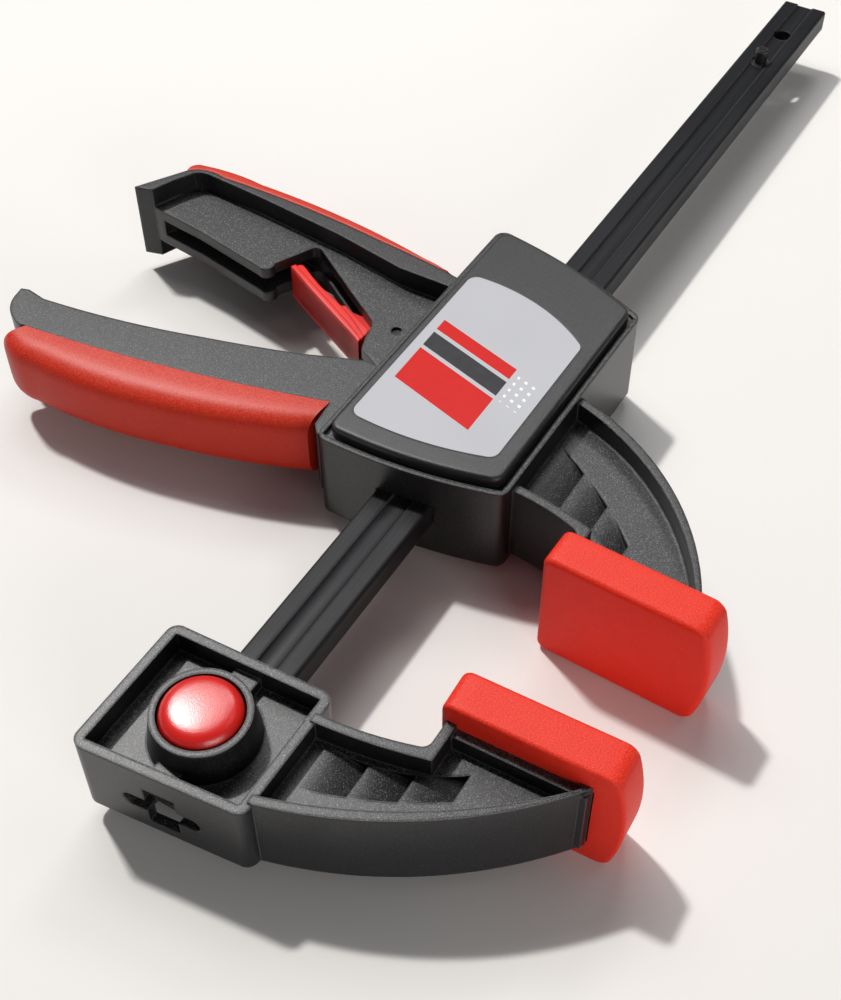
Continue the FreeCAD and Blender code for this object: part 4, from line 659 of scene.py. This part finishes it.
# Drive and brake plates
# Hardened steel plates, blanked, ground and oiled. They stand round the rail inside the housing,
# where two grip it when the lever is pumped and one holds the jaw until the trigger frees it.

plate_steel, tree, shader = start_finish("hardened_plate_steel", (0.24, 0.24, 0.25), 0.36, metallic=1.0)
ground = noise(tree, stretched(tree, (300.0, 30.0, 1200.0)), scale=2.0, detail=4.0)
feed(shader, "Base Color", toned(tree, ground, (0.16, 0.16, 0.17), (0.32, 0.32, 0.33)))
for node in ("drive_plate_front", "drive_plate_rear", "brake_plate"):
    dress(node, plate_steel)


# Floor
# A plain pale table under the clamp. It fades out well beyond the clamp's shadow, and it is clear
# from below, so that the hidden side can be looked at.

table_half_width = 1.4
table_gap = 0.00002
table_x, table_y = 0.1, 0.08
table_level = round(box_of_solids[0][2], 6) - table_gap
fade_reach = (0.4, 1.1)

table_paint, tree, shader = start_finish("pale_table", (0.80, 0.77, 0.73), 0.7)
spot = spot_on_piece(tree)
tone = noise(tree, spot, scale=6.0, detail=3.0)
feed(shader, "Base Color", mixed(tree, tone, (0.765, 0.745, 0.72), (0.80, 0.785, 0.765)))
far = add_node(tree, "ShaderNodeVectorMath", spot, settings={"operation": "LENGTH"}).outputs["Value"]
from_below = add_node(tree, "ShaderNodeNewGeometry").outputs["Backfacing"]
clear = reckon(tree, "MAXIMUM", spread(tree, far, fade_reach, (0.0, 1.0)), from_below)
open_air = add_node(tree, "ShaderNodeBsdfTransparent").outputs[0]
surface = add_node(tree, "ShaderNodeMixShader", clear, shader.outputs[0], open_air).outputs[0]
feed(tree.nodes["Material Output"], "Surface", surface)
sheet = bpy.data.meshes.new("table_top")
sides = ((-1, -1), (1, -1), (1, 1), (-1, 1))
corners = [(x * table_half_width, y * table_half_width, 0.0) for x, y in sides]
sheet.from_pydata(corners, [], [(0, 1, 2, 3)])
sheet.materials.append(table_paint)
table = bpy.data.objects.new("table_top", sheet)
table.location = (table_x, table_y, table_level)
bpy.context.scene.collection.objects.link(table)


# Light
# One key light, high beyond the clamp's far side, gives the shadow. Weak wide ones lift the near
# side, the underside and the sheen, and the camera sees a pale backdrop that lights nothing.

def soft_light(name, place, aim, width, power, tint=(1.0, 1.0, 1.0)):
    lamp = bpy.data.lights.new(name, "AREA")
    lamp.shape = "RECTANGLE"
    lamp.size = width
    lamp.size_y = width * 0.7
    lamp.energy = power
    lamp.color = tint
    holder = bpy.data.objects.new(name, lamp)
    holder.location = place
    holder.rotation_euler = (Vector(aim) - Vector(place)).to_track_quat("-Z", "Y").to_euler()
    bpy.context.scene.collection.objects.link(holder)


clamp_middle = (0.06, 0.07, 0.0)
soft_light("key", (1.19, 2.55, 4.20), clamp_middle, width=0.33, power=186.0, tint=(1.0, 0.985, 0.96))
soft_light("sheen", (0.36, 0.49, 0.84), (-0.03, 0.07, 0.0), width=0.5, power=2.5)
soft_light("front_fill", (-0.62, -1.0, 0.34), clamp_middle, width=0.8, power=6.4, tint=(1.0, 0.98, 0.96))
soft_light("under_fill", (0.05, 0.0, -0.9), clamp_middle, width=0.9, power=1.6, tint=(1.0, 0.97, 0.94))
soft_light("right_sheen", (0.80, 0.24, 0.84), (0.06, 0.0, 0.0), width=0.3, power=1.9)
soft_light("right_fill", (0.50, -0.36, 0.88), clamp_middle, width=0.5, power=0.5)
world = bpy.data.worlds.new("studio")
bpy.context.scene.world = world
world.use_nodes = True
air = world.node_tree
glow = air.nodes["Background"]
glow.inputs["Color"].default_value = (0.95, 0.97, 1.0, 1.0)
glow.inputs["Strength"].default_value = 0.11
backdrop = add_node(air, "ShaderNodeBackground", Color=(0.95, 0.945, 0.935, 1.0), Strength=1.0)
seen = add_node(air, "ShaderNodeLightPath").outputs["Is Camera Ray"]
choice = add_node(air, "ShaderNodeMixShader", seen, glow.outputs[0], backdrop.outputs[0])
feed(air.nodes["World Output"], "Surface", choice.outputs[0])


# Camera
# The photograph's own: its place, its lens and the ways it looks and leans were worked out from
# the clamp's straight edges.

lens = bpy.data.cameras.new("camera")
lens.lens = 53.31
lens.clip_start = 0.01
lens.clip_end = 20.0
camera_place = Vector((-0.1679, -0.0690, 0.2850))
ahead = Vector((0.5693, 0.3469, -0.7454)).normalized()
above = Vector((0.516, -0.8566, -0.0046)).cross(ahead).normalized()
right = ahead.cross(above)
camera = bpy.data.objects.new("camera", lens)
turned = Matrix((right, above, -ahead)).transposed().to_4x4()
camera.matrix_world = Matrix.Translation(camera_place) @ turned
bpy.context.scene.collection.objects.link(camera)
bpy.context.scene.camera = camera
bpy.context.scene.view_settings.view_transform = "Standard"
